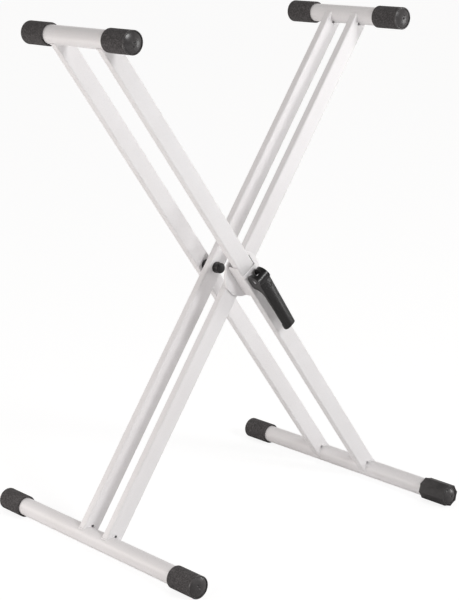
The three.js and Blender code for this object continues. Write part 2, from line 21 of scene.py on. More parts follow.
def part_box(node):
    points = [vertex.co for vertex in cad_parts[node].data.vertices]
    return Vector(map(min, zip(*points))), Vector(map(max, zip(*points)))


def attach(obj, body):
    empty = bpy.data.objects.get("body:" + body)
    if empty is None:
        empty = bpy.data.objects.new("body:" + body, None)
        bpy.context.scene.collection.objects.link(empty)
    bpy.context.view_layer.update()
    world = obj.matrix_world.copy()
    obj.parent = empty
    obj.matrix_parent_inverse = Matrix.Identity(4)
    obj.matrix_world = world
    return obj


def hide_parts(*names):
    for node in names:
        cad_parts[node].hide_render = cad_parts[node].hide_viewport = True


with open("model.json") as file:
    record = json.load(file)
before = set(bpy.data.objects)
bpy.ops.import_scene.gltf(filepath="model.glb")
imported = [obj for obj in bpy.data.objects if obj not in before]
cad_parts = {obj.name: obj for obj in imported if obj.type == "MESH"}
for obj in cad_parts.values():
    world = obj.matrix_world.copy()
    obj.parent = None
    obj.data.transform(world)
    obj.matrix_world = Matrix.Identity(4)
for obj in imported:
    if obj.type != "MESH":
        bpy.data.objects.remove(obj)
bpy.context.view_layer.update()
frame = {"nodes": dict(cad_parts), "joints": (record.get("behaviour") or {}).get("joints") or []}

LOG = logging.getLogger("stand")
MM = 0.001
NEAR_ZERO = 1e-7

Piece = bpy.types.Object
Tree = bpy.types.NodeTree
Node = bpy.types.Node
Socket = bpy.types.NodeSocket
Inputs = dict[str | int, object]
Point2 = tuple[float, float]
Point3 = tuple[float, float, float]


class Slot(Enum):
    """The record's material slots."""

    PAINT = "frame_paint"
    SLEEVE = "sleeve_rubber"
    PLUG = "plug_plastic"
    BLACK = "black_plastic"
    STEEL = "bright_steel"


class End(Enum):
    """Which end of a bar: its sign along Y and its word in the nodes' names."""

    FRONT = -1
    REAR = 1

    @property
    def word(self) -> str:
        """The word in the nodes' names."""
        return self.name.lower()

    @property
    def facing(self) -> Matrix:
        """Turns a piece that is drawn along +Y to point out of this end."""
        return Matrix.Rotation(math.pi if self is End.FRONT else 0.0, 4, "Z")


class Joining(Enum):
    """How two solids are combined."""

    CUT = "DIFFERENCE"
    KEEP_COMMON = "INTERSECT"
    FUSE = "UNION"


# ---------- mesh helpers


def mesh_from(name: str, vertices: Sequence[Point3], faces: Sequence[Sequence[int]]) -> Piece:
    """Makes an object at the origin from vertices and faces, with its faces pointing outwards.

    Args:
        name: the piece's name.
        vertices: points in metres.
        faces: vertex indices of each face.

    Returns:
        The new object.
    """
    mesh = bpy.data.meshes.new(name)
    mesh.from_pydata(vertices, [], faces)
    work = bmesh.new()
    work.from_mesh(mesh)
    bmesh.ops.remove_doubles(work, verts=work.verts, dist=NEAR_ZERO)
    bmesh.ops.recalc_face_normals(work, faces=work.faces)
    work.to_mesh(mesh)
    work.free()
    piece = bpy.data.objects.new(name, mesh)
    bpy.context.scene.collection.objects.link(piece)
    return piece


def shift(x: float = 0.0, y: float = 0.0, z: float = 0.0) -> Matrix:
    """A move along the axes."""
    return Matrix.Translation((x, y, z))


def smooth(piece: Piece, angle: float = 32.0) -> Piece:
    """Shades a piece smooth.

    Args:
        piece: the piece.
        angle: edges above this many degrees stay sharp.

    Returns:
        The piece.
    """
    piece.data.polygons.foreach_set("use_smooth", [True] * len(piece.data.polygons))
    piece.data.set_sharp_from_angle(angle=math.radians(angle))
    return piece


def place(piece: Piece, matrix: Matrix) -> Piece:
    """Moves a piece's mesh; the object stays at the origin.

    Args:
        piece: the piece.
        matrix: the move.

    Returns:
        The piece.
    """
    piece.data.transform(matrix)
    piece.data.update()
    return piece


def settle(piece: Piece) -> Piece:
    """Turns a piece's modifiers into its plain mesh and removes them.

    Args:
        piece: the piece.

    Returns:
        The piece.
    """
    bpy.context.view_layer.update()
    graph = bpy.context.evaluated_depsgraph_get()
    mesh = bpy.data.meshes.new_from_object(piece.evaluated_get(graph))
    piece.modifiers.clear()
    piece.data = mesh
    return piece


def combine(piece: Piece, other: Piece, how: Joining) -> Piece:
    """Cuts, fuses or intersects a piece with another, which is used up.

    Args:
        piece: the piece that stays.
        other: the solid that acts on it.
        how: the way they are combined.

    Returns:
        The piece.
    """
    boolean = piece.modifiers.new("combine", "BOOLEAN")
    boolean.operation = how.value
    boolean.solver = "EXACT"
    boolean.object = other
    settle(piece)
    bpy.data.objects.remove(other)
    return piece


def loft(name: str, rings: Sequence[Sequence[Point3]]) -> Piece:
    """A closed solid through rings of points.

    Args:
        name: the piece's name.
        rings: its cross-sections in order, with as many points each.

    Returns:
        The new object.
    """
    count = len(rings[0])
    vertices = [point for ring in rings for point in ring]
    faces: list[list[int]] = [list(range(count)), list(range(len(vertices) - count, len(vertices)))[::-1]]
    for start in range(0, len(vertices) - count, count):
        for i in range(count):
            a, b = start + i, start + (i + 1) % count
            faces.append([a, b, b + count, a + count])
    return mesh_from(name, vertices, faces)


def prism(name: str, outline: Sequence[Point2], low: float, high: float, across: str = "XY") -> Piece:
    """A straight solid over a closed outline.

    Args:
        name: the piece's name.
        outline: points of the outline.
        low: where it starts along the third axis.
        high: where it ends.
        across: the two axes of the outline.

    Returns:
        The new object.
    """
    order = [(across + "XYZ".strip(across)).index(letter) for letter in "XYZ"]
    rings = []
    for level in (low, high):
        rings.append([tuple((u, v, level)[k] for k in order) for u, v in outline])
    return loft(name, rings)


def round_corner(
    corner: Point2, before: Point2, after: Point2, radius: float, steps: int = 6
) -> list[Point2]:
    """Points of a round corner between two straight stretches of an outline.

    Args:
        corner: the sharp corner.
        before: a point on the stretch that comes in.
        after: a point on the stretch that goes out.
        radius: the corner's radius.
        steps: how many stretches the arc has.

    Returns:
        The arc's points, from the incoming stretch to the outgoing one.
    """
    c = Vector(corner)
    to_before = (Vector(before) - c).normalized()
    to_after = (Vector(after) - c).normalized()
    half = to_before.angle(to_after) / 2
    back = radius / math.tan(half)
    middle = c + (to_before + to_after).normalized() * (radius / math.sin(half))
    start = c + to_before * back - middle
    end = c + to_after * back - middle
    arc = (start.slerp(end, i / steps).normalized() for i in range(steps + 1))
    return [tuple(middle + spoke * radius) for spoke in arc]


def filleted(corners: Sequence[Point3], steps: int = 6) -> list[Point2]:
    """A profile or outline with rounded corners.

    Args:
        corners: points as (u, v, radius); a radius of 0 keeps the corner. Where the first one has
            a radius, the outline is closed.
        steps: how many stretches each arc has.

    Returns:
        The profile's points.
    """
    points: list[Point2] = []
    for i, (u, v, radius) in enumerate(corners):
        if radius <= 0:
            points.append((u, v))
        else:
            following = corners[(i + 1) % len(corners)]
            points += round_corner((u, v), corners[i - 1][:2], following[:2], radius, steps)
    return points


def rounded_rectangle(width: float, height: float, radius: float) -> list[Point2]:
    """Outline of a rectangle with round corners, centred on the origin."""
    x, y = width / 2, height / 2
    return filleted([(x, y, radius), (-x, y, radius), (-x, -y, radius), (x, -y, radius)], 8)


def turned(name: str, profile: Sequence[Point2], steps: int = 96) -> Piece:
    """A body turned about the Y axis.

    Args:
        name: the piece's name.
        profile: points as (radius, y). It starts and ends on the axis, or closes on itself.
        steps: how many stretches go round.

    Returns:
        The new object.
    """
    vertices: list[Point3] = []
    rows: list[list[int]] = []
    for radius, y in profile:
        first = len(vertices)
        if radius < NEAR_ZERO:
            vertices.append((0.0, y, 0.0))
            rows.append([first] * steps)
            continue
        for i in range(steps):
            angle = 2 * math.pi * i / steps
            vertices.append((radius * math.cos(angle), y, radius * math.sin(angle)))
        rows.append(list(range(first, first + steps)))
    faces = []
    for lower, upper in zip(rows, rows[1:]):
        for i in range(steps):
            j = (i + 1) % steps
            face = list(dict.fromkeys((lower[i], lower[j], upper[j], upper[i])))
            if len(face) > 2:
                faces.append(face)
    return mesh_from(name, vertices, faces)


def rod(radius: float, low: float, high: float, steps: int = 96) -> Piece:
    """A plain rod about the Y axis, used to cut other pieces."""
    return turned("rod", [(0, low), (radius, low), (radius, high), (0, high)], steps)


def block(low: Sequence[float], high: Sequence[float]) -> Piece:
    """A box between two corners, used to cut other pieces."""
    outline = [(low[0], low[1]), (high[0], low[1]), (high[0], high[1]), (low[0], high[1])]
    return prism("block", outline, low[2], high[2])


def bezier(points: Sequence[Point2], steps: int = 10) -> list[Point2]:
    """Points of a quadratic or cubic curve after its first point.

    Args:
        points: three or four control points.
        steps: how many stretches the curve has.

    Returns:
        The points from just after the start to the end.
    """
    result = []
    for i in range(1, steps + 1):
        layer = [Vector(p) for p in points]
        while len(layer) > 1:
            layer = [a.lerp(b, i / steps) for a, b in zip(layer, layer[1:])]
        result.append(tuple(layer[0]))
    return result


@dataclass(frozen=True)
class Softening:
    """Softens every edge of a piece, as a mould or a coat of paint does."""

    voxel: float
    passes: int
    keep: float
    factor: float = 0.5
    sharp: float = 60.0

    def apply(self, piece: Piece) -> Piece:
        """Gives a sharp-edged piece an even grain, smooths it and thins it out.

        Args:
            piece: the sharp-edged piece.

        Returns:
            The piece.
        """
        remesh = piece.modifiers.new("grain", "REMESH")
        remesh.mode = "VOXEL"
        remesh.voxel_size = self.voxel
        smoothing = piece.modifiers.new("soften", "SMOOTH")
        smoothing.factor = self.factor
        smoothing.iterations = self.passes
        piece.modifiers.new("thin", "DECIMATE").ratio = self.keep
        return smooth(settle(piece), self.sharp)


# ---------- node trees


@dataclass
class Wiring:
    """Adds nodes to a tree and joins them."""

    tree: Tree

    def add(self, kind: str, given: Inputs | None = None, **settings: object) -> Node:
        """Adds a node.

        Args:
            kind: the node's type.
            given: for each input by name or index, a value to set, a socket to link, or a node
                whose first output is linked.
            settings: properties of the node.

        Returns:
            The node.
        """
        node = self.tree.nodes.new(kind)
        for key, value in settings.items():
            setattr(node, key, value)
        for key, value in (given or {}).items():
            if isinstance(value, Node):
                value = value.outputs[0]
            if isinstance(value, Socket):
                self.tree.links.new(value, node.inputs[key])
            else:
                node.inputs[key].default_value = value
        return node

    def math(self, operation: str, first: object, second: object = 0.0) -> Socket:
        """The result of one arithmetic step on sockets, nodes or numbers."""
        return self.add("ShaderNodeMath", {0: first, 1: second}, operation=operation).outputs[0]

    def times(self, *factors: object) -> Socket:
        """The product of sockets, nodes or numbers."""
        return reduce(partial(self.math, "MULTIPLY"), factors)

    def spread(self, value: object, source: Point2, target: Point2 = (0.0, 1.0)) -> Socket:
        """A value mapped from one span to another."""
        spans = dict(enumerate((value, *source, *target)))
        return self.add("ShaderNodeMapRange", spans).outputs[0]


def new_group(name: str, inputs: dict[str, float | None], outputs: Sequence[str]) -> Tree:
    """Starts a shader node group whose outputs are all values.

    Args:
        name: the group's name.
        inputs: default of each input socket, by name; None makes it a vector.
        outputs: names of the output sockets.

    Returns:
        The group.
    """
    group = bpy.data.node_groups.new(name, "ShaderNodeTree")
    for label, default in inputs.items():
        kind = "NodeSocketVector" if default is None else "NodeSocketFloat"
        socket = group.interface.new_socket(label, in_out="INPUT", socket_type=kind)
        if default is not None:
            socket.default_value = default
    for label in outputs:
        group.interface.new_socket(label, in_out="OUTPUT", socket_type="NodeSocketFloat")
    return group


def grain_group() -> Tree:
    """Two sizes of fine grain laid over each other, for bump, gloss and colour.

    Returns:
        A group that gives a Height and a broad Mottle, both from 0 to 1.
    """
    inputs = {"Vector": None, "Fine": 900.0, "Coarse": 60.0, "Blend": 0.5}
    cells_to_fine = 0.4
    group = new_group("grain", inputs, ("Height", "Mottle"))
    wire = Wiring(group)
    given = wire.add("NodeGroupInput").outputs
    at = {"Vector": given["Vector"]}
    fine = wire.add("ShaderNodeTexNoise", at | {"Scale": given["Fine"], "Detail": 3.0})
    coarse = wire.add("ShaderNodeTexNoise", at | {"Scale": given["Coarse"], "Detail": 2.0})
    scale = wire.times(given["Fine"], cells_to_fine)
    cells = wire.add("ShaderNodeTexVoronoi", at | {"Scale": scale}, feature="SMOOTH_F1")
    mixed = wire.add("ShaderNodeMix", {0: given["Blend"], 2: fine, 3: cells})
    wire.add("NodeGroupOutput", {"Height": mixed, "Mottle": coarse})
    return group


def dust_group() -> Tree:
    """Dust that settles in patches on the faces that look up.

    Returns:
        A group that gives a Mask from 0 to 1.
    """
    patch_scale, patch_span = 45.0, (0.35, 0.7)
    group = new_group("dust", {"Vector": None, "Amount": 0.2}, ("Mask",))
    wire = Wiring(group)
    given = wire.add("NodeGroupInput").outputs
    normal = wire.add("ShaderNodeNewGeometry").outputs["Normal"]
    upward = wire.math("MAXIMUM", wire.add("ShaderNodeSeparateXYZ", {0: normal}).outputs[2], 0.0)
    at = {"Vector": given["Vector"], "Scale": patch_scale, "Detail": 5.0}
    patches = wire.spread(wire.add("ShaderNodeTexNoise", at), patch_span)
    wire.add("NodeGroupOutput", {"Mask": wire.times(upward, patches, given["Amount"])})
    return group


GRAIN = grain_group()
DUST = dust_group()


def start_tree(name: str, sizes: Sequence[str], takes_mesh: bool = False) -> Tree:
    """Starts a geometry node tree with sizes, a seed and a material as its inputs.

    Args:
        name: the tree's name.
        sizes: names of the inputs that are sizes.
        takes_mesh: whether it works on the piece's own mesh.

    Returns:
        The tree.
    """
    tree = bpy.data.node_groups.new(name, "GeometryNodeTree")
    kinds = {"Geometry": "Geometry"} if takes_mesh else {}
    kinds |= dict.fromkeys(sizes, "Float") | {"Seed": "Int", "Material": "Material"}
    for label, kind in kinds.items():
        tree.interface.new_socket(label, in_out="INPUT", socket_type=f"NodeSocket{kind}")
    tree.interface.new_socket("Geometry", in_out="OUTPUT", socket_type="NodeSocketGeometry")
    return tree


def end_tree(wire: Wiring, geometry: Node, material: Socket) -> None:
    """Ends a geometry node tree with realised instances and their material.

    Args:
        wire: the tree's wiring.
        geometry: the node that makes the geometry.
        material: the tree's material input.
    """
    real = wire.add("GeometryNodeRealizeInstances", {0: geometry})
    dressed = wire.add("GeometryNodeSetMaterial", {"Geometry": real, "Material": material})
    wire.add("NodeGroupOutput", {0: dressed})


def run_tree(piece: Piece, tree: Tree, values: dict[str, object], sharp: float) -> Piece:
    """Runs a geometry node tree on a piece and keeps the result as its plain mesh.

    Args:
        piece: the piece.
        tree: the node tree.
        values: value of each input, by name.
        sharp: edges above this many degrees stay sharp.

    Returns:
        The piece.
    """
    modifier = piece.modifiers.new(tree.name, "NODES")
    modifier.node_group = tree
    for item in tree.interface.items_tree:
        if item.in_out == "INPUT" and item.name in values:
            modifier[item.identifier] = values[item.name]
    return smooth(settle(piece), sharp)


# ---------- finishes


@dataclass(frozen=True)
class Finish:
    """A coat, moulding or metal: two tones that its mottle blends, its gloss and its grain."""

    name: str
    tone: Point3
    shade: Point3
    roughness: Point2
    fine: float
    coarse: float
    bump: float
    cells: float = 0.0
    metallic: float = 0.0
    specular: float = 0.5
    dust: float = 0.1
    speckle: float = 0.0
    stretch: Point3 = (1.0, 1.0, 1.0)
    mottle_span: Point2 = (0.3, 0.7)
    grain_span: Point2 = (0.2, 0.8)
    dust_tone: Point3 = (0.62, 0.61, 0.6)

    def material(self) -> bpy.types.Material:
        """The finish as a material, built once.

        Returns:
            The material.
        """
        found = bpy.data.materials.get(self.name)
        if found:
            return found
        material = bpy.data.materials.new(self.name)
        material.use_nodes = True
        tree = material.node_tree
        wire = Wiring(tree)
        at = wire.add("ShaderNodeTexCoord").outputs["Object"]
        mapped = wire.add("ShaderNodeMapping", {0: at, "Scale": self.stretch})
        sizes = {"Vector": mapped, "Fine": self.fine, "Coarse": self.coarse, "Blend": self.cells}
        grain = wire.add("ShaderNodeGroup", sizes, node_tree=GRAIN).outputs
        dust = wire.add("ShaderNodeGroup", {"Vector": at, "Amount": self.dust}, node_tree=DUST)
        speckled = wire.times(wire.math("SUBTRACT", grain["Height"], 0.5), self.speckle)
        blend = wire.spread(wire.math("ADD", grain["Mottle"], speckled), self.mottle_span)
        tones = {0: blend, 6: (*self.shade, 1.0), 7: (*self.tone, 1.0)}
        ground = wire.add("ShaderNodeMix", tones, data_type="RGBA").outputs[2]
        layers = {0: dust, 6: ground, 7: (*self.dust_tone, 1.0)}
        bump = {"Distance": self.bump, "Height": grain["Height"], "Strength": 1.0}
        principled = next(n for n in tree.nodes if n.type == "BSDF_PRINCIPLED").inputs
        for name, socket in (
            ("Base Color", wire.add("ShaderNodeMix", layers, data_type="RGBA").outputs[2]),
            ("Roughness", wire.spread(grain["Height"], self.grain_span, self.roughness)),
            ("Normal", wire.add("ShaderNodeBump", bump).outputs[0]),
        ):
            tree.links.new(socket, principled[name])
        principled["Metallic"].default_value = self.metallic
        principled["Specular IOR Level"].default_value = self.specular
        return material


POWDER_COAT = Finish(
    "white_powder_coat", tone=(0.865, 0.853, 0.862), shade=(0.835, 0.82, 0.826),
    roughness=(0.24, 0.34), fine=850.0, coarse=9.0, bump=0.00002, dust=0.03,
)
SLEEVE_RUBBER = Finish(
    "textured_sleeve_rubber", tone=(0.112, 0.106, 0.107), shade=(0.046, 0.043, 0.044),
    roughness=(0.72, 0.95), fine=900.0, coarse=520.0, bump=0.00025, cells=0.5, speckle=1.2,
    specular=0.2, dust=0.04,
)
PLUG_PLASTIC = Finish(
    "satin_plug_plastic", tone=(0.05, 0.046, 0.047), shade=(0.034, 0.031, 0.032),
    roughness=(0.24, 0.36), fine=1500.0, coarse=120.0, bump=0.00001, dust=0.12,
)
BLACK_PLASTIC = Finish(
    "moulded_black_plastic", tone=(0.012, 0.011, 0.0115), shade=(0.007, 0.0063, 0.0067),
    roughness=(0.24, 0.34), fine=1600.0, coarse=90.0, bump=0.000012, specular=0.38, dust=0.03,
)
RIBBED_NYLON = Finish(
    "matt_collar_nylon", tone=(0.03, 0.0275, 0.0285), shade=(0.02, 0.0185, 0.019),
    roughness=(0.5, 0.64), fine=1300.0, coarse=110.0, bump=0.00003, dust=0.05,
)
ZINC_STEEL = Finish(
    "zinc_plated_steel", tone=(0.66, 0.66, 0.67), shade=(0.5, 0.5, 0.51), roughness=(0.18, 0.32),
    fine=1400.0, coarse=150.0, bump=0.000006, metallic=1.0, dust=0.02, stretch=(1.0, 0.15, 1.0),
)

FINISHES = {
    Slot.PAINT: POWDER_COAT,
    Slot.SLEEVE: SLEEVE_RUBBER,
    Slot.PLUG: PLUG_PLASTIC,
    Slot.BLACK: BLACK_PLASTIC,
    Slot.STEEL: ZINC_STEEL,
}


def dress(piece: Piece, finish: Finish) -> None:
    """Gives a piece a finish."""
    piece.data.materials.clear()
    piece.data.materials.append(finish.material())


def seat(piece: Piece, body: str, slot: Slot, *nodes: str, finish: Finish | None = None) -> None:
    """Dresses a finished piece, hangs it on its body and hides the nodes that it stands for.

    Args:
        piece: the finished piece.
        body: the body that it moves with.
        slot: the record's slot of its finish.
        nodes: the nodes that it stands for.
        finish: its own finish, where that isn't the slot's usual one.
    """
    dress(piece, finish or FINISHES[slot])
    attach(piece, body)
    if nodes:
        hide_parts(*nodes)
    LOG.info("%s rides on %s, %d faces", piece.name, body, len(piece.data.polygons))


# ---------- shared sizes


def joint_place(name: str) -> Vector:
    """Where a joint's axis lies."""
    joint = next(j for j in frame["joints"] if j["name"] == name)
    return Vector(joint["pos_m"])


def middle_of(node: str) -> Vector:
    """The middle of a node's box."""
    low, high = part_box(node)
    return (low + high) / 2


def half_width(node: str) -> float:
    """Half of a node's size along X."""
    low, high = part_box(node)
    return (high.x - low.x) / 2


PIVOT = joint_place("frame_fold")
LEG_AXIS = middle_of("outer_top_bar") - middle_of("outer_foot_bar")
LEAN = math.atan2(abs(LEG_AXIS.x), LEG_AXIS.z)
HALF_LEG = LEG_AXIS.length / 2
BAR_RADIUS = half_width("outer_top_bar")
TUBE_WALL = 1.5 * MM
BOLT_RADIUS = 4 * MM
BOLT_CHAMFER = 0.8 * MM
FIT = 0.3 * MM
QUARTER_TURN = Matrix.Rotation(math.pi / 2, 4, "Z")


def leaning(side: int, y: float = 0.0) -> Matrix:
    """From the axes of a leg at y to the frame's; side is the sign of its top's x."""
    return shift(PIVOT.x, y, PIVOT.z) @ Matrix.Rotation(side * LEAN, 4, "Y")


def pivot_ring(name: str, node: str, radius: float, edge: float, steps: int) -> Piece:
    """A ring round the pivot's bolt, as thick as its node.

    Args:
        name: the piece's name.
        node: the node that it stands for.
        radius: its outer radius.
        edge: how far its outer edges are rounded.
        steps: how many stretches go round.

    Returns:
        The new object.
    """
    (_, low, _), (_, high, _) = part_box(node)
    bore = BOLT_RADIUS + FIT
    profile = filleted([(bore, low, 0), (radius, low, edge), (radius, high, edge), (bore, high, 0)])
    ring = turned(name, profile + [(bore, low)], steps)
    return smooth(place(ring, shift(PIVOT.x, 0, PIVOT.z)))


# ---------- frames


@dataclass
class LegShape:
    """A rectangular tube about Z whose ends are cut to saddle the bars."""

    width: float = 32 * MM
    depth: float = 15 * MM
    corner: float = 2.5 * MM
    horn_setback: float = 6 * MM
    vent_radius: float = 2.6 * MM
    vent_overlap: float = 0.35
    bush_radius: float = 7 * MM

    def build(self, name: str) -> Piece:
        """The leg about the pivot, along its own axes.

        Args:
            name: the piece's name.

        Returns:
            The new object.
        """
        reach = HALF_LEG - self.horn_setback
        leg = prism(name, rounded_rectangle(self.width, self.depth, self.corner), -reach, reach)
        hollow = rounded_rectangle(
            self.width - 2 * TUBE_WALL, self.depth - 2 * TUBE_WALL, self.corner - TUBE_WALL
        )
        combine(leg, prism("hollow", hollow, -reach - MM, reach + MM), Joining.CUT)
        for end in (-1, 1):
            bar = rod(BAR_RADIUS + FIT, -self.depth, self.depth, 128)
            combine(leg, place(bar, shift(z=end * HALF_LEG)), Joining.CUT)
            vent_z = end * (HALF_LEG - BAR_RADIUS - self.vent_radius * (1 - self.vent_overlap))
            vent = rod(self.vent_radius, -self.depth, -self.depth / 2 + TUBE_WALL + MM, 32)
            combine(leg, place(vent, shift(z=vent_z)), Joining.CUT)
        combine(leg, rod(self.bush_radius + FIT, -self.depth, self.depth, 48), Joining.CUT)
        return smooth(leg)


@dataclass
class WeldBead:
    """The bead along the seam where a saddle-cut leg meets its bar, made by a node tree."""

    bead_radius: float = 1.1 * MM
    ripple_pitch: float = 1.7 * MM
    ripple_depth: float = 0.12
    sample: float = 0.35 * MM
    seed: int = 7
    noise_scale: float = 300.0
    corner_points: int = 6
    sides: int = 10
    break_span: Point2 = (0.9, 1.5)  # in vent radii: closed to full
    thinnest: float = 0.02
    behind_shift: float = 9.0  # keeps the seam behind the leg whole
    sharp: float = 80.0
    tree: Tree = field(init=False)

    def __post_init__(self) -> None:
        """Builds the node tree."""
        self.tree = self.build_tree()

    def build_tree(self) -> Tree:
        """A closed rounded rectangle, laid onto the bar and swept by a rippled bead.

        Returns:
            The node tree, with named inputs for its sizes.
        """
        tree = start_tree("weld_bead", (
            "Width", "Depth", "Corner", "Bar Radius", "Setback", "Vent Radius", "Bead Radius",
            "Ripple Pitch", "Ripple Depth", "Sample",
        ))
        wire = Wiring(tree)
        given = wire.add("NodeGroupInput").outputs
        sides = {"Width": given["Width"], "Height": given["Depth"]}
        curve = wire.add("GeometryNodeCurvePrimitiveQuadrilateral", sides)
        corners = {"Curve": curve, "Radius": given["Corner"], "Count": self.corner_points}
        curve = wire.add("GeometryNodeFilletCurve", corners, mode="POLY")
        steps = {"Curve": curve, "Length": given["Sample"]}
        curve = wire.add("GeometryNodeResampleCurve", steps, mode="LENGTH")
        here = wire.add("ShaderNodeSeparateXYZ", {0: wire.add("GeometryNodeInputPosition")}).outputs
        bar = given["Bar Radius"]
        left = wire.math("SUBTRACT", wire.times(bar, bar), wire.times(here[0], here[0]))
        reach = wire.math("SQRT", wire.math("MAXIMUM", left, 0.0))
        down = wire.times(wire.math("MAXIMUM", reach, given["Setback"]), -1.0)
        seam = {0: here[0], 1: here[1], 2: down}
        laid = {"Geometry": curve, "Position": wire.add("ShaderNodeCombineXYZ", seam)}
        curve = wire.add("GeometryNodeSetPosition", laid)
        along = wire.add("GeometryNodeSplineParameter").outputs["Length"]
        phase = wire.math("DIVIDE", wire.times(along, math.pi), given["Ripple Pitch"])
        wave = wire.math("ABSOLUTE", wire.math("SINE", phase))
        noise = {"Scale": self.noise_scale, "W": given["Seed"]}
        rough = wire.add("ShaderNodeTexNoise", noise, noise_dimensions="4D")
        uneven = wire.times(wire.math("ADD", wave, rough), given["Ripple Depth"])
        swell = wire.times(wire.math("ADD", uneven, 1.0), given["Bead Radius"])
        aside = wire.math("DIVIDE", wire.math("ABSOLUTE", here[0]), given["Vent Radius"])
        behind = wire.times(wire.math("GREATER_THAN", here[1], 0.0), self.behind_shift)
        clear = wire.spread(wire.math("ADD", aside, behind), self.break_span, (self.thinnest, 1.0))
        circle = {"Resolution": self.sides, "Radius": 1.0}
        profile = wire.add("GeometryNodeCurvePrimitiveCircle", circle)
        swept = {"Curve": curve, "Profile Curve": profile, "Scale": wire.times(swell, clear)}
        end_tree(wire, wire.add("GeometryNodeCurveToMesh", swept), given["Material"])
        return tree

    def build(self, name: str, leg: LegShape) -> Piece:
        """One bead about a bar's axis, with the leg hanging below it.

        Args:
            name: the piece's name.
            leg: the leg whose seam it follows.

        Returns:
            The new object.
        """
        values = {
            "Width": leg.width, "Depth": leg.depth, "Corner": leg.corner,
            "Bar Radius": BAR_RADIUS + FIT / 2, "Setback": leg.horn_setback,
            "Vent Radius": leg.vent_radius, "Bead Radius": self.bead_radius,
            "Ripple Pitch": self.ripple_pitch, "Ripple Depth": self.ripple_depth,
            "Sample": self.sample, "Seed": self.seed, "Material": POWDER_COAT.material(),
        }
        return run_tree(mesh_from(name, [], []), self.tree, values, self.sharp)


@dataclass
class PebbledSkin:
    """Fine pebbles on the sleeves' rubber, made by a node tree that sinks the surface."""

    pebble: float = 1.5 * MM
    height: float = 0.16 * MM
    seed: int = 3
    sharp: float = 60.0
    tree: Tree = field(init=False)

    def __post_init__(self) -> None:
        """Builds the node tree."""
        self.tree = self.build_tree()

    def build_tree(self) -> Tree:
        """Sinks the surface along its normal, by a noise of the pebbles' size.

        Returns:
            The node tree, with named inputs for its sizes.
        """
        tree = start_tree("pebbled_skin", ("Pebble", "Height"), takes_mesh=True)
        wire = Wiring(tree)
        given = wire.add("NodeGroupInput").outputs
        scale = wire.math("DIVIDE", 1.0, given["Pebble"])
        at = {"Scale": scale, "Detail": 1.0, "W": given["Seed"]}
        noise = wire.add("ShaderNodeTexNoise", at, noise_dimensions="4D")
        depth = wire.times(wire.math("SUBTRACT", noise, 1.0), given["Height"])
        sunk = {0: wire.add("GeometryNodeInputNormal"), "Scale": depth}
        offset = wire.add("ShaderNodeVectorMath", sunk, operation="SCALE")
        moved = {"Geometry": given["Geometry"], "Offset": offset}
        end_tree(wire, wire.add("GeometryNodeSetPosition", moved), given["Material"])
        return tree

    def apply(self, piece: Piece, seed: int) -> Piece:
        """Pebbles a finely divided piece; its seed moves the pebbles."""
        values = {"Pebble": self.pebble, "Height": self.height, "Seed": self.seed + seed}
        return run_tree(piece, self.tree, values | {"Material": SLEEVE_RUBBER.material()}, self.sharp)


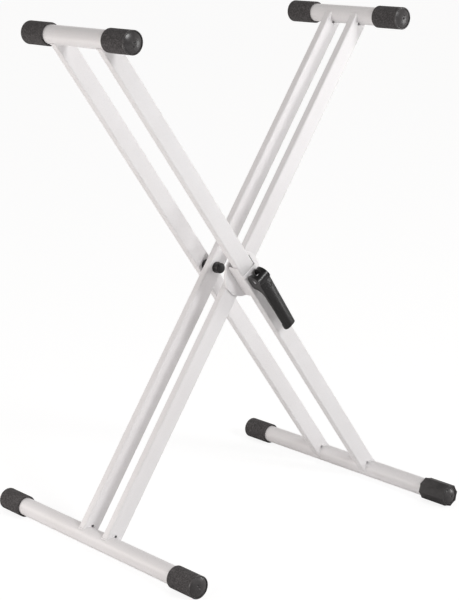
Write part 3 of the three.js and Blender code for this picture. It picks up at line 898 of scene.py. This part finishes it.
@dataclass
class SleevedEnd:
    """A textured sleeve and its domed plug on one end of a bar."""

    thickness: float = 3.5 * MM
    edge: float = 1.0 * MM
    row_step: float = 0.75 * MM
    flange: float = 3.0 * MM
    dome: float = 2.5 * MM
    dome_power: float = 2.4
    face_margin: float = 2.7 * MM
    face_edge: float = 0.8 * MM
    groove_depth: float = 1.5 * MM
    groove_width: float = 0.8 * MM
    groove_slope: float = 0.1 * MM
    groove_rounding: float = 0.15 * MM
    lip_rounding: float = 0.3 * MM
    rim_rounding: float = 0.9 * MM
    shank: float = 18 * MM
    pit_radius: float = 1.7 * MM
    small_pit_radius: float = 1.3 * MM
    small_pit_offset: float = 6 * MM
    pit_depth: float = 1.5 * MM
    pit_steepness: float = 1.1
    pit_reach: float = 1.6
    ring_step: float = 0.42 * MM
    skin: PebbledSkin = field(default_factory=PebbledSkin)

    def sleeve(self, name: str, node: str, end: End, seed: int) -> Piece:
        """The sleeve, fitted to the box of its node.

        Args:
            name: the piece's name.
            node: the node that it stands for.
            end: which end of the bar it is on.
            seed: its place in the pebbles' noise.

        Returns:
            The new object.
        """
        low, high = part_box(node)
        length = high.y - low.y
        inner, outer = BAR_RADIUS + FIT, BAR_RADIUS + self.thickness
        edge = self.edge
        corners = filleted([(inner, 0, 0), (outer, 0, edge), (outer, length, edge / 2), (inner, length, 0)])
        split = len(corners) // 2
        start, stop = corners[split - 1][1], corners[split][1]
        rows = round(length / self.row_step)
        between = [(outer, start + (stop - start) * i / rows) for i in range(1, rows)]
        profile = corners[:split] + between + corners[split:] + [(inner, 0.0)]
        piece = self.skin.apply(turned(name, profile, 160), seed)
        foot = high.y if end is End.FRONT else low.y
        middle = (low + high) / 2
        return place(piece, shift(middle.x, foot, middle.z) @ end.facing)

    def dome_height(self, share: float) -> float:
        """The face's height over the rim at a share of the way from its middle to its edge."""
        return self.dome - (self.dome + self.face_edge) * share**self.dome_power

    def plug(self, name: str, rim: float, centre: Vector, end: End, turn: float, pits: int) -> Piece:
        """A domed plug with its shank in the bar.

        Args:
            name: the piece's name.
            rim: radius of its rim.
            centre: middle of the bar's end, in the plane of the rim.
            end: which end of the bar.
            turn: how far it is turned about the bar, in degrees.
            pits: how many dimples its face has.

        Returns:
            The new object.
        """
        edge = rim - self.face_margin
        shank_radius = BAR_RADIUS - TUBE_WALL - FIT
        count = round(edge / self.ring_step)
        outer = edge + self.groove_width
        profile = [(edge * i / count, self.dome_height(i / count)) for i in range(count + 1)]
        profile += filleted([
            (edge + self.groove_slope, -self.groove_depth, 0),
            (outer - self.groove_slope, -self.groove_depth, self.groove_rounding),
            (outer, 0, self.lip_rounding),
            (rim, 0, self.rim_rounding),
            (rim, -self.flange, 0),
        ])
        tail = -self.flange - self.shank
        profile += [(shank_radius, -self.flange), (shank_radius, tail), (0.0, tail)]
        piece = turned(name, profile, 96)
        self.press_pits(piece, edge, turn, pits)
        return place(smooth(piece, 40), Matrix.Translation(centre) @ end.facing)

    def press_pits(self, piece: Piece, edge: float, turn: float, pits: int) -> None:
        """Presses the gate mark and the small dimple into a plug's face.

        Args:
            piece: the plug, drawn outwards along +Y.
            edge: radius of its face.
            turn: the small dimple's place about the bar, in degrees.
            pits: how many of the two are pressed.
        """
        angle = math.radians(turn)
        aside = Vector((math.sin(angle), 0, math.cos(angle))) * self.small_pit_offset
        places = [(Vector((0, 0, 0)), self.pit_radius), (aside, self.small_pit_radius)][:pits]
        for vertex in piece.data.vertices:
            flat = Vector((vertex.co.x, 0, vertex.co.z))
            if vertex.co.y < -self.groove_depth or flat.length > edge:
                continue
            for middle, radius in places:
                share = (flat - middle).length / radius
                if share < self.pit_reach:
                    vertex.co.y -= self.pit_depth * math.exp(-((share * self.pit_steepness) ** 4))


# Degrees about the bar, where the photograph shows a plug's small dimple; the others differ.
PLUG_TURNS = {"outer_top_plug_front": 172.0, "inner_top_plug_front": -8.0, "inner_foot_plug_front": 30.0}
TURN_STEP = 40.0


@dataclass
class StandFrame:
    """One of the two welded frames: two legs, a top bar, a foot bar and their ends."""

    name: str
    side: int
    leg: LegShape = field(default_factory=LegShape)
    ends: SleevedEnd = field(default_factory=SleevedEnd)
    bead: WeldBead = field(default_factory=WeldBead)

    @property
    def body(self) -> str:
        """The body that all of it moves with."""
        return f"{self.name}_frame"

    def build(self) -> None:
        """Builds the frame's legs, bars, beads, sleeves and plugs."""
        for end in End:
            self.build_leg(end)
        for level in ("top", "foot"):
            self.build_bar(f"{self.name}_{level}_bar")
            for end in End:
                if f"{self.name}_{level}_sleeve_{end.word}" in frame["nodes"]:
                    self.build_end(level, end)

    def build_leg(self, end: End) -> None:
        """Builds one leg with a weld bead at each of its ends.

        Args:
            end: which of the two legs.
        """
        node = f"{self.name}_leg_{end.word}"
        y = middle_of(node).y
        leg = place(self.leg.build(f"{self.name}_{end.word}_leg_tube"), leaning(self.side, y))
        seat(leg, self.body, Slot.PAINT, node)
        for level, turn in (("top", 0.0), ("foot", math.pi)):
            bead = self.bead.build(f"{self.name}_{end.word}_{level}_weld", self.leg)
            up = Matrix.Rotation(turn, 4, "Y") @ shift(z=HALF_LEG)
            seat(place(bead, leaning(self.side, y) @ up), self.body, Slot.PAINT)

    def build_bar(self, node: str) -> None:
        """Builds one bar, a round tube along Y.

        Args:
            node: the node that it stands for.
        """
        low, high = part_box(node)
        bore = BAR_RADIUS - TUBE_WALL
        profile = [(bore, low.y), (BAR_RADIUS, low.y), (BAR_RADIUS, high.y), (bore, high.y), (bore, low.y)]
        middle = (low + high) / 2
        bar = place(turned(f"{node}_tube", profile), shift(middle.x, 0, middle.z))
        seat(smooth(bar), self.body, Slot.PAINT, node)

    def build_end(self, level: str, end: End) -> None:
        """Builds the sleeve and the plug on one end of a bar.

        Args:
            level: "top" or "foot".
            end: which end of that bar.
        """
        sleeve_node = f"{self.name}_{level}_sleeve_{end.word}"
        plug_node = f"{self.name}_{level}_plug_{end.word}"
        name = f"{self.name}_{level}_{end.word}"
        order = sorted(frame["nodes"]).index(sleeve_node)
        sleeve = self.ends.sleeve(f"{name}_sleeve", sleeve_node, end, order)
        seat(sleeve, self.body, Slot.SLEEVE, sleeve_node)
        low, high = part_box(plug_node)
        face = low.y + self.ends.dome if end is End.FRONT else high.y - self.ends.dome
        centre = Vector(((low.x + high.x) / 2, face, (low.z + high.z) / 2))
        turn = PLUG_TURNS.get(plug_node, TURN_STEP * order)
        plug = self.ends.plug(f"{name}_plug", BAR_RADIUS + self.ends.thickness, centre, end, turn, pits=2)
        seat(plug, self.body, Slot.PLUG, plug_node)


@dataclass
class LevellingFoot:
    """The octagonal collar that turns on the foot bar's front end, and the plug inside it."""

    thickness: float = 4.6 * MM
    sides: int = 8
    turn: float = 7.0
    offset: float = 1.2 * MM
    chamfer: float = 0.8 * MM
    chamfer_knee: Point2 = (0.3, 0.25 * MM)  # share of the inset, place along the bar
    ridge_radius: float = 0.9 * MM
    ridge_steps: int = 5
    hollow: float = 0.5 * MM
    hollow_steps: int = 8
    sharp: float = 25.0
    ends: SleevedEnd = field(default_factory=SleevedEnd)

    def outline(self, inset: float) -> list[Point2]:
        """The collar's outline across the bar, about its own middle.

        Args:
            inset: how far the outline is drawn in.

        Returns:
            Its points, with round ridges and hollow flats.
        """
        radius = BAR_RADIUS + self.thickness - inset
        angles = [math.radians(self.turn - 90 + i * 360 / self.sides) for i in range(self.sides)]
        corners = [(radius * math.cos(a), radius * math.sin(a), self.ridge_radius) for a in angles]
        ridges = filleted(corners, self.ridge_steps)
        points: list[Point2] = []
        for i in range(self.sides):
            after = (i + 1) * (self.ridge_steps + 1)
            points += ridges[after - self.ridge_steps - 1:after]
            start, end = Vector(ridges[after - 1]), Vector(ridges[after % len(ridges)])
            inward = -((start + end) / 2).normalized() * self.hollow
            for step in range(1, self.hollow_steps):
                share = step / self.hollow_steps
                points.append(tuple(start.lerp(end, share) + inward * 4 * share * (1 - share)))
        return points

    def build(self) -> None:
        """Builds the collar and its plug."""
        node = "levelling_collar"
        low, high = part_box(node)
        bar = middle_of("outer_foot_bar")
        radius = BAR_RADIUS + self.thickness
        lift = radius * math.cos(math.radians(self.turn)) - (BAR_RADIUS + self.ends.thickness)
        knee, knee_y = self.chamfer_knee
        levels = [(self.chamfer, 0.0), (self.chamfer * knee, knee_y), (0.0, self.chamfer)]
        levels += [(inset, high.y - low.y - y) for inset, y in reversed(levels)]
        rings = [[(u, y, v) for u, v in self.outline(inset)] for inset, y in levels]
        collar = loft("turning_collar", rings)
        place(collar, shift(bar.x - self.offset, low.y, bar.z + lift))
        bore = rod(BAR_RADIUS + FIT, low.y - MM, high.y + MM)
        combine(collar, place(bore, shift(bar.x, 0, bar.z)), Joining.CUT)
        seat(smooth(collar, self.sharp), "collar", Slot.BLACK, node, finish=RIBBED_NYLON)
        centre = Vector((bar.x, low.y, bar.z))
        plug = self.ends.plug("turning_collar_plug", BAR_RADIUS - FIT, centre, End.FRONT, 0.0, pits=1)
        seat(plug, "outer_frame", Slot.PLUG, "levelling_plug")


# ---------- clamp


@dataclass
class Lever:
    """The moulded cam lever, drawn about its pin as (forward, up) and along X."""

    pin: Vector
    pin_radius: float = 3 * MM
    eye_radius: float = 7 * MM
    width: float = 26.5 * MM
    tip_width: float = 25 * MM
    cam_radius: float = 15 * MM
    cam_release: float = 0.9 * MM
    cam_steps: int = 40
    throw: float = 100.0
    flat: float = 12 * MM
    front_reach: float = 15.5 * MM
    brow: Point3 = (0.55, 0.86, 0.5)  # shares of the reach and of the cam's radius, twice
    tip_reach: float = 13 * MM
    length: float = 115 * MM
    underside: float = 4.8 * MM
    grip_root: float = 38 * MM
    root_curve: float = 11 * MM
    heel_drop: float = 6.6 * MM
    heel_curve: float = 2 * MM
    heel_back: float = 6 * MM
    crown: float = 1.6 * MM
    crown_steps: int = 8
    face_top: float = 3 * MM
    head_shoulder: float = 3 * MM
    tip_shoulder: float = 7 * MM
    shoulder_steps: int = 10
    tip_bevel: float = 1.5 * MM
    stop_height: float = 2.6 * MM
    stop_length: float = 9.5 * MM
    stop_corner: float = 3 * MM
    hollow_depth: float = 0.9 * MM
    hollow_start: float = 13.5 * MM
    hollow_end: float = 19 * MM
    slot_half: float = 5.4 * MM
    slot_clearance: float = 0.4 * MM
    badge_radius: float = 6.5 * MM
    badge_depth: float = 0.5 * MM
    badge_ring: float = 0.8 * MM
    badge_below: float = 15 * MM
    badge_facing: float = -0.7
    pocket_width: float = 17 * MM
    pocket_wall: float = 3.2 * MM
    pocket_rib: float = 2 * MM
    pocket_top: float = 44 * MM
    pocket_foot: float = 21 * MM
    pockets: int = 3
    beyond: float = 10 * MM
    softening: Softening = Softening(voxel=0.36 * MM, passes=5, keep=0.5)

    def side_view(self) -> list[Point2]:
        """The lever's outline from the side, as (forward, up) about the pin.

        Returns:
            The closed outline's points.
        """
        cam, front, under = self.cam_radius, self.front_reach, self.underside
        points: list[Point2] = [(-cam, -self.flat)]
        for i in range(self.cam_steps + 1):
            share = i / self.cam_steps
            angle, radius = math.radians(self.throw) * share, cam - self.cam_release * share
            points.append((-radius * math.cos(angle), radius * math.sin(angle)))
        forward, above, below = self.brow
        points += bezier(
            [points[-1], (front * forward, cam * above), (front, cam * below), (front, 0.0)], 16
        )
        tip, stop = -self.length, under - self.stop_height
        top = tip + self.stop_length
        reach, bevel = self.tip_reach, self.tip_bevel
        points += [(reach, tip + bevel), (reach - bevel, tip), (under, tip)]
        points += bezier([(under, tip), (stop, tip), (stop, tip + self.stop_corner)])
        points.append((stop, top))
        hollow = (under + self.hollow_depth, tip + self.hollow_start)
        points += bezier([(stop, top), (stop, top + self.stop_corner), hollow])
        root = (under, -self.grip_root)
        points += [(under, tip + self.hollow_end), root]
        heel = -self.flat - self.heel_drop
        back = (-self.heel_back, heel)
        bend = (under, self.root_curve - self.grip_root)
        points += bezier([root, bend, (0.0, heel - self.heel_curve), back], 14)
        points += bezier([back, (-cam, heel + self.heel_curve), (-cam, -self.flat)])
        return points[:-1]

    def front_section(self, width: float, front: float, shoulder: float) -> list[Point2]:
        """The envelope's outline across the lever.

        Args:
            width: the lever's width there.
            front: how far forward its middle reaches.
            shoulder: radius of its rounded sides.

        Returns:
            The closed outline's points, as (x, forward).
        """
        half: list[Point2] = [(width / 2, -self.cam_radius - self.beyond)]
        for i in range(self.shoulder_steps + 1):
            angle = i / self.shoulder_steps * math.pi / 2
            x = width / 2 - shoulder + shoulder * math.cos(angle)
            half.append((x, front - self.crown - shoulder + shoulder * math.sin(angle)))
        edge_x, edge_y = half[-1]
        for i in range(1, self.crown_steps + 1):
            share = i / self.crown_steps
            half.append((edge_x * (1 - share), edge_y + self.crown * (1 - (1 - share) ** 2)))
        return half + [(-x, y) for x, y in reversed(half[:-1])]

    def envelope(self) -> Piece:
        """The space that the rounded front fills: square-edged at the head, shouldered below.

        Returns:
            The new object.
        """
        open_front = self.front_reach + self.beyond
        rows = (
            (self.tip_width, self.tip_reach, self.tip_shoulder, -self.length - self.beyond),
            (self.tip_width, self.tip_reach, self.tip_shoulder, -self.length),
            (self.width, self.front_reach, self.head_shoulder, -self.face_top),
            (self.width, open_front, self.head_shoulder, 0.0),
            (self.width, open_front, self.head_shoulder, self.cam_radius + self.beyond),
        )
        return loft("envelope", [[(x, -y, up) for x, y in self.front_section(*size)] for *size, up in rows])

    def press_badge(self, lever: Piece) -> None:
        """Presses a plain round recess, with a deeper ring at its edge, into the front face.

        Args:
            lever: the finished lever, about its pin.
        """
        mesh = lever.data
        places, normals = np.empty(len(mesh.vertices) * 3), np.empty(len(mesh.vertices) * 3)
        mesh.vertices.foreach_get("co", places)
        mesh.vertices.foreach_get("normal", normals)
        places = places.reshape(-1, 3)
        away = np.hypot(places[:, 0], places[:, 2] + self.badge_below)
        floor = np.clip((self.badge_radius - away) / self.badge_ring, 0.0, 1.0)
        ring = np.clip(1.0 - np.abs(away - self.badge_radius + self.badge_ring) / self.badge_ring, 0.0, 1.0)
        faces_front = normals.reshape(-1, 3)[:, 1] < self.badge_facing
        places[:, 1] += self.badge_depth * (floor + ring) * faces_front
        mesh.vertices.foreach_set("co", places.ravel())
        mesh.update()

    def build(self) -> None:
        """Builds the lever."""
        outline = [(-forward, up) for forward, up in self.side_view()]
        lever = prism("cam_lever", outline, -self.width / 2, self.width / 2, "YZ")
        combine(lever, self.envelope(), Joining.KEEP_COMMON)
        reach = self.eye_radius + self.slot_clearance
        far = self.cam_radius + self.beyond
        combine(lever, block((-self.slot_half, -reach, -reach), (self.slot_half, far, far)), Joining.CUT)
        bore = rod(self.pin_radius + FIT, -self.width, self.width, 48)
        combine(lever, place(bore, QUARTER_TURN), Joining.CUT)
        run = self.length - self.pocket_foot - self.pocket_top
        size = (run - (self.pockets - 1) * self.pocket_rib) / self.pockets
        side, floor = self.pocket_width / 2, self.pocket_wall - self.tip_reach
        for i in range(self.pockets):
            high = -self.pocket_top - i * (size + self.pocket_rib)
            combine(lever, block((-side, floor, high - size), (side, 0.0, high)), Joining.CUT)
        self.softening.apply(lever)
        self.press_badge(lever)
        seat(place(lever, leaning(-1, self.pin.y)), "lever", Slot.BLACK, "clamp_lever")


@dataclass
class Clamp:
    """The clamp at the front crossing: disc, saddle, lever, pin and draw bolt."""

    disc_rounding: float = 1.0 * MM
    sheet: float = 1.8 * MM
    side_clearance: float = 0.4 * MM
    half_length: float = 34 * MM
    plate_top: float = 13 * MM
    shoulder: float = 4 * MM
    shoulder_rounding: float = 1.0 * MM
    cheek_overlap: float = 0.5 * MM
    cheek_rounding: float = 0.6 * MM
    bend_radius: float = 3.2 * MM
    bend_steps: int = 10
    cheek_corner: float = 5 * MM
    eye_width: float = 10 * MM
    pin_inset: float = 0.5 * MM
    pin_rounding: float = 0.5 * MM
    leg: LegShape = field(default_factory=LegShape)
    lever: Lever = field(default_factory=lambda: Lever(pin=joint_place("lever_swing")))
    softening: Softening = Softening(voxel=0.42 * MM, passes=2, keep=0.35)

    def build(self) -> None:
        """Builds the clamp's pieces."""
        low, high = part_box("clamp_disc")
        disc = pivot_ring("friction_disc", "clamp_disc", (high.z - low.z) / 2, self.disc_rounding, 144)
        seat(disc, "inner_frame", Slot.PAINT, "clamp_disc")
        self.build_saddle()
        self.lever.build()
        self.build_pin()
        self.build_draw_bolt()

    def build_saddle(self) -> None:
        """Builds the bent sheet that straddles the outer leg."""
        low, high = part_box("clamp_saddle")
        rear, front = high.y, low.y
        back = front + self.sheet
        inner = self.leg.width / 2 + self.side_clearance
        outer = inner + self.sheet
        bend, tight = self.bend_radius, self.bend_radius - self.sheet
        inside = [(-inner, rear, 0), (-inner, back, tight), (inner, back, tight), (inner, rear, 0)]
        outside = [(outer, rear, 0), (outer, front, bend), (-outer, front, bend), (-outer, rear, 0)]
        section = filleted(inside, self.bend_steps) + filleted(outside, self.bend_steps)
        saddle = prism("bent_saddle", section, -self.half_length, self.half_length)
        cheek = middle_of("outer_leg_front").y - self.leg.depth / 2 - self.cheek_overlap
        plate = front - MM
        top, bottom = self.half_length, -self.half_length
        corners = [
            (rear, 0.0, 0),
            (rear, top, self.cheek_corner),
            (cheek, top, self.cheek_rounding),
            (cheek, self.plate_top + self.shoulder, self.shoulder_rounding),
            (plate, self.plate_top, 0),
            (plate, bottom + self.shoulder, 0),
            (cheek, bottom, self.cheek_rounding),
            (rear, bottom, self.cheek_corner),
            (rear, 0.0, 0),
        ]
        side = prism("side", filleted(corners)[:-1], -outer - MM, outer + MM, "YZ")
        combine(saddle, side, Joining.KEEP_COMMON)
        combine(saddle, rod(BOLT_RADIUS + FIT, front - MM, back + MM, 48), Joining.CUT)
        self.softening.apply(saddle)
        seat(place(saddle, leaning(-1)), "saddle", Slot.PAINT, "clamp_saddle")

    def build_pin(self) -> None:
        """Builds the lever's cross pin, a little short of the ears' sides."""
        half, r = self.lever.width / 2 - self.pin_inset, self.lever.pin_radius
        corners = [(0, -half, 0), (r, -half, self.pin_rounding), (r, half, self.pin_rounding), (0, half, 0)]
        pin = turned("cross_pin", filleted(corners), 48)
        place(pin, shift(y=self.lever.pin.y) @ QUARTER_TURN)
        seat(place(smooth(pin), leaning(-1)), "lever", Slot.STEEL, "clamp_pin")

    def build_draw_bolt(self) -> None:
        """Builds the bolt whose eye holds the pin."""
        pin_y, tail = self.lever.pin.y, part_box("draw_bolt")[1].y
        r, eye, half = BOLT_RADIUS, self.lever.eye_radius, self.eye_width / 2
        shank = filleted([(0, pin_y, 0), (r, pin_y, 0), (r, tail, BOLT_CHAMFER), (0, tail, 0)])
        bolt = turned("eye_bolt", shank, 48)
        corners = [(0, -half, 0), (eye, -half, BOLT_CHAMFER), (eye, half, BOLT_CHAMFER), (0, half, 0)]
        across = shift(y=pin_y) @ QUARTER_TURN
        combine(bolt, place(turned("eye", filleted(corners), 64), across), Joining.FUSE)
        pin_hole = rod(self.lever.pin_radius + FIT, -self.eye_width, self.eye_width, 48)
        combine(bolt, place(pin_hole, across), Joining.CUT)
        seat(place(smooth(bolt), leaning(-1)), "outer_frame", Slot.STEEL, "draw_bolt")


# ---------- pivot fasteners


@dataclass
class PivotFasteners:
    """Nut caps, the rear spacer, and the rear bolt with its washer."""

    cap_wall: float = 1.1 * MM
    cap_crown: float = 1.4 * MM
    cap_edge: float = 1.4 * MM
    flange_height: float = 3.2 * MM
    flange_width: float = 0.7 * MM
    flange_edge: float = 0.6 * MM
    step_rounding: float = 0.25 * MM
    spacer_edge: float = 0.8 * MM
    washer_edge: float = 0.3 * MM
    across_flats: float = 13 * MM
    head_height: float = 5.5 * MM
    chamfer_slope: float = 0.5
    chamfer_share: float = 0.92

    def build(self) -> None:
        """Builds the fasteners' pieces, and dresses the solids that stay."""
        self.build_cap("draw_bolt_nut_cap", End.REAR)
        self.build_cap("rear_bolt_nut_cap", End.FRONT)
        for node, edge, slot in (
            ("rear_spacer", self.spacer_edge, Slot.BLACK),
            ("rear_bolt_head_washer", self.washer_edge, Slot.STEEL),
        ):
            ring = pivot_ring(f"{node}_ring", node, half_width(node), edge, 72)
            seat(ring, "outer_frame", slot, node)
        self.build_rear_bolt()
        kept = [f"{bolt}_nut{part}" for bolt in ("draw_bolt", "rear_bolt") for part in ("", "_washer")]
        kept += [f"{name}_bush_{end.word}" for name in ("outer", "inner") for end in End]
        for node in kept:
            dress(frame["nodes"][node], ZINC_STEEL)

    def build_cap(self, node: str, toward: End) -> None:
        """Builds a two-stepped nut cap.

        Args:
            node: the node that it stands for.
            toward: the end of the stand that it points to.
        """
        low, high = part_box(node)
        flange, height = half_width(node), high.y - low.y
        body = flange - self.flange_width
        pocket, ceiling = body - self.cap_wall, height - self.cap_crown
        profile = filleted([
            (pocket, 0, 0),
            (flange, 0, 0),
            (flange, self.flange_height, self.flange_edge),
            (body, self.flange_height, self.step_rounding),
            (body, height, self.cap_edge),
            (0, height, 0),
        ])
        profile += [(0, ceiling), (pocket, ceiling), (pocket, 0)]
        cap = turned(node.replace("_nut_cap", "_cap"), profile, 72)
        foot = high.y if toward is End.FRONT else low.y
        place(cap, shift(PIVOT.x, foot, PIVOT.z) @ toward.facing)
        seat(smooth(cap), "outer_frame", Slot.BLACK, node)

    def build_rear_bolt(self) -> None:
        """Builds the rear bolt, with a chamfered hexagon head."""
        low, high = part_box("rear_bolt")
        under = high.y - self.head_height
        corner = self.across_flats / 2 / math.cos(math.pi / 6)
        angles = [i * math.pi / 3 for i in range(6)]
        outline = [(corner * math.cos(angle), corner * math.sin(angle)) for angle in angles]
        head = prism("hexagon_bolt", outline, under, high.y, "XZ")
        face, wide = self.across_flats / 2 * self.chamfer_share, corner + MM
        slope = (wide - face) * self.chamfer_slope
        cone = [(0, under - MM), (wide, under - MM), (wide, high.y - slope), (face, high.y), (0, high.y)]
        combine(head, turned("chamfer", cone), Joining.KEEP_COMMON)
        r, inside = BOLT_RADIUS, under + MM
        shank = filleted([(0, low.y, 0), (r, low.y, BOLT_CHAMFER), (r, inside, 0), (0, inside, 0)])
        combine(head, turned("shank", shank, 48), Joining.FUSE)
        seat(smooth(place(head, leaning(-1)), 20), "outer_frame", Slot.STEEL, "rear_bolt")


# ---------- studio


@dataclass(frozen=True)
class SoftBox:
    """A rectangular lamp that faces a point of the stand."""

    name: str
    toward: Point3
    distance: float
    width: float
    height: float
    power: float
    aim: Point3 = (0.0, 0.0, 0.45)
    tint: Point3 = (1.0, 1.0, 1.0)

    def build(self) -> None:
        """Adds the lamp to the scene."""
        data = bpy.data.lights.new(self.name, "AREA")
        data.shape = "RECTANGLE"
        data.size, data.size_y = self.width, self.height
        data.energy = self.power
        data.color = self.tint
        lamp = bpy.data.objects.new(self.name, data)
        direction = Vector(self.toward).normalized()
        lamp.location = Vector(self.aim) + direction * self.distance
        lamp.visible_camera = False
        lamp.rotation_euler = (-direction).to_track_quat("-Z", "Y").to_euler()
        bpy.context.scene.collection.objects.link(lamp)


WARM = (1.0, 0.95, 0.92)
LAMPS = (
    SoftBox("key", (0.05, -0.9, 0.5), distance=6.0, width=1.3, height=1.3, power=138.0),
    SoftBox("side", (0.79, -0.61, -0.03), distance=3.0, width=0.62, height=0.9, power=14.0),
    SoftBox("low_left", (-1.0, 0.35, -0.08), distance=1.3, width=1.8, height=0.6, power=6.3, tint=WARM),
)


@dataclass
class Studio:
    """The pale floor, the soft light and the camera at the photograph's angle."""

    yaw: float = 40.825
    pitch: float = 14.132
    roll: float = -0.741
    lens: float = 99.86
    sensor: float = 36.0
    camera_at: Point3 = (-1.8581, -2.15985, 1.10656)
    clip_end: float = 100.0
    floor_half: float = 30.0
    floor_drop: float = 0.2 * MM
    floor_albedo: float = 0.9
    floor_glow: float = 1.16
    floor_glow_share: float = 0.75
    horizon_light: float = 0.88
    zenith_light: float = 0.32
    zenith_height: float = 0.8
    back_lift: float = 0.25
    shade_from: Point3 = (-0.6, -0.8, 0.1)
    shade_depth: float = 0.62
    shade_power: float = 2.0
    fill_tint: Point3 = (1.0, 0.966, 0.945)

    def build(self) -> None:
        """Builds the camera, the floor, the world and the lamps."""
        bpy.context.scene.view_settings.view_transform = "Standard"
        self.build_camera()
        self.build_floor()
        self.build_world()
        for lamp in LAMPS:
            lamp.build()

    def build_camera(self) -> None:
        """Builds the camera, from its recovered place and angles."""
        yaw, pitch, roll = (math.radians(v) for v in (self.yaw, self.pitch, self.roll))
        level = Vector((math.sin(yaw), math.cos(yaw), 0)) * math.cos(pitch)
        ahead = level - Vector((0, 0, math.sin(pitch)))
        right = Vector((math.cos(yaw), -math.sin(yaw), 0))
        up = right.cross(ahead)
        c, s = math.cos(roll), math.sin(roll)
        turn = Matrix((right * c + up * s, up * c - right * s, -ahead)).transposed().to_4x4()
        data = bpy.data.cameras.new("camera")
        data.lens = self.lens
        data.sensor_width = self.sensor
        data.sensor_fit = "AUTO"
        data.clip_end = self.clip_end
        camera = bpy.data.objects.new("camera", data)
        camera.matrix_world = Matrix.Translation(self.camera_at) @ turn
        bpy.context.scene.collection.objects.link(camera)
        bpy.context.scene.camera = camera

    def build_floor(self) -> None:
        """Builds a white floor that keeps a soft shadow."""
        h, z = self.floor_half, -self.floor_drop
        floor = mesh_from("floor", [(-h, -h, z), (h, -h, z), (h, h, z), (-h, h, z)], [(0, 1, 2, 3)])
        material = bpy.data.materials.new("white_floor")
        material.use_nodes = True
        material.node_tree.nodes.clear()
        wire = Wiring(material.node_tree)
        diffuse = wire.add("ShaderNodeBsdfDiffuse", {"Color": (*[self.floor_albedo] * 3, 1)})
        glow = wire.add("ShaderNodeEmission", {"Color": (1, 1, 1, 1), "Strength": self.floor_glow})
        seen = wire.add("ShaderNodeLightPath").outputs["Is Camera Ray"]
        share = wire.times(seen, self.floor_glow_share)
        mixed = wire.add("ShaderNodeMixShader", {0: share, 1: diffuse, 2: glow})
        wire.add("ShaderNodeOutputMaterial", {0: mixed})
        floor.data.materials.append(material)

    def build_world(self) -> None:
        """Builds a bright horizon under a dimmer sky; it is white where the camera sees it."""
        world = bpy.data.worlds.new("studio")
        world.use_nodes = True
        bpy.context.scene.world = world
        world.node_tree.nodes.clear()
        wire = Wiring(world.node_tree)
        ahead = wire.add("ShaderNodeTexCoord").outputs["Generated"]
        facing = wire.add("ShaderNodeSeparateXYZ", {0: ahead}).outputs
        sky = wire.spread(facing[2], (0.0, self.zenith_height), (self.horizon_light, self.zenith_light))
        lift = wire.math("ADD", wire.times(facing[1], self.back_lift), 1.0)
        shade_at = {0: ahead, 1: Vector(self.shade_from).normalized()}
        near = wire.add("ShaderNodeVectorMath", shade_at, operation="DOT_PRODUCT").outputs["Value"]
        lobe = wire.math("POWER", wire.math("MAXIMUM", near, 0.0), self.shade_power)
        dim = wire.math("SUBTRACT", 1.0, wire.times(lobe, self.shade_depth))
        level = wire.times(sky, lift, dim)
        white = wire.add("ShaderNodeBackground", {"Color": (1, 1, 1, 1), "Strength": 1.0})
        soft = wire.add("ShaderNodeBackground", {"Color": (*self.fill_tint, 1.0), "Strength": level})
        camera_ray = wire.add("ShaderNodeLightPath").outputs["Is Camera Ray"]
        mixed = wire.add("ShaderNodeMixShader", {0: camera_ray, 1: soft, 2: white})
        wire.add("ShaderNodeOutputWorld", {0: mixed})


def main() -> None:
    """Builds the sub-assemblies in order, then the studio."""
    logging.basicConfig(level=logging.INFO, format="%(name)s: %(message)s")
    StandFrame("outer", side=-1).build()
    StandFrame("inner", side=1).build()
    LevellingFoot().build()
    Clamp().build()
    PivotFasteners().build()
    Studio().build()


if __name__ == "__main__":
    main()
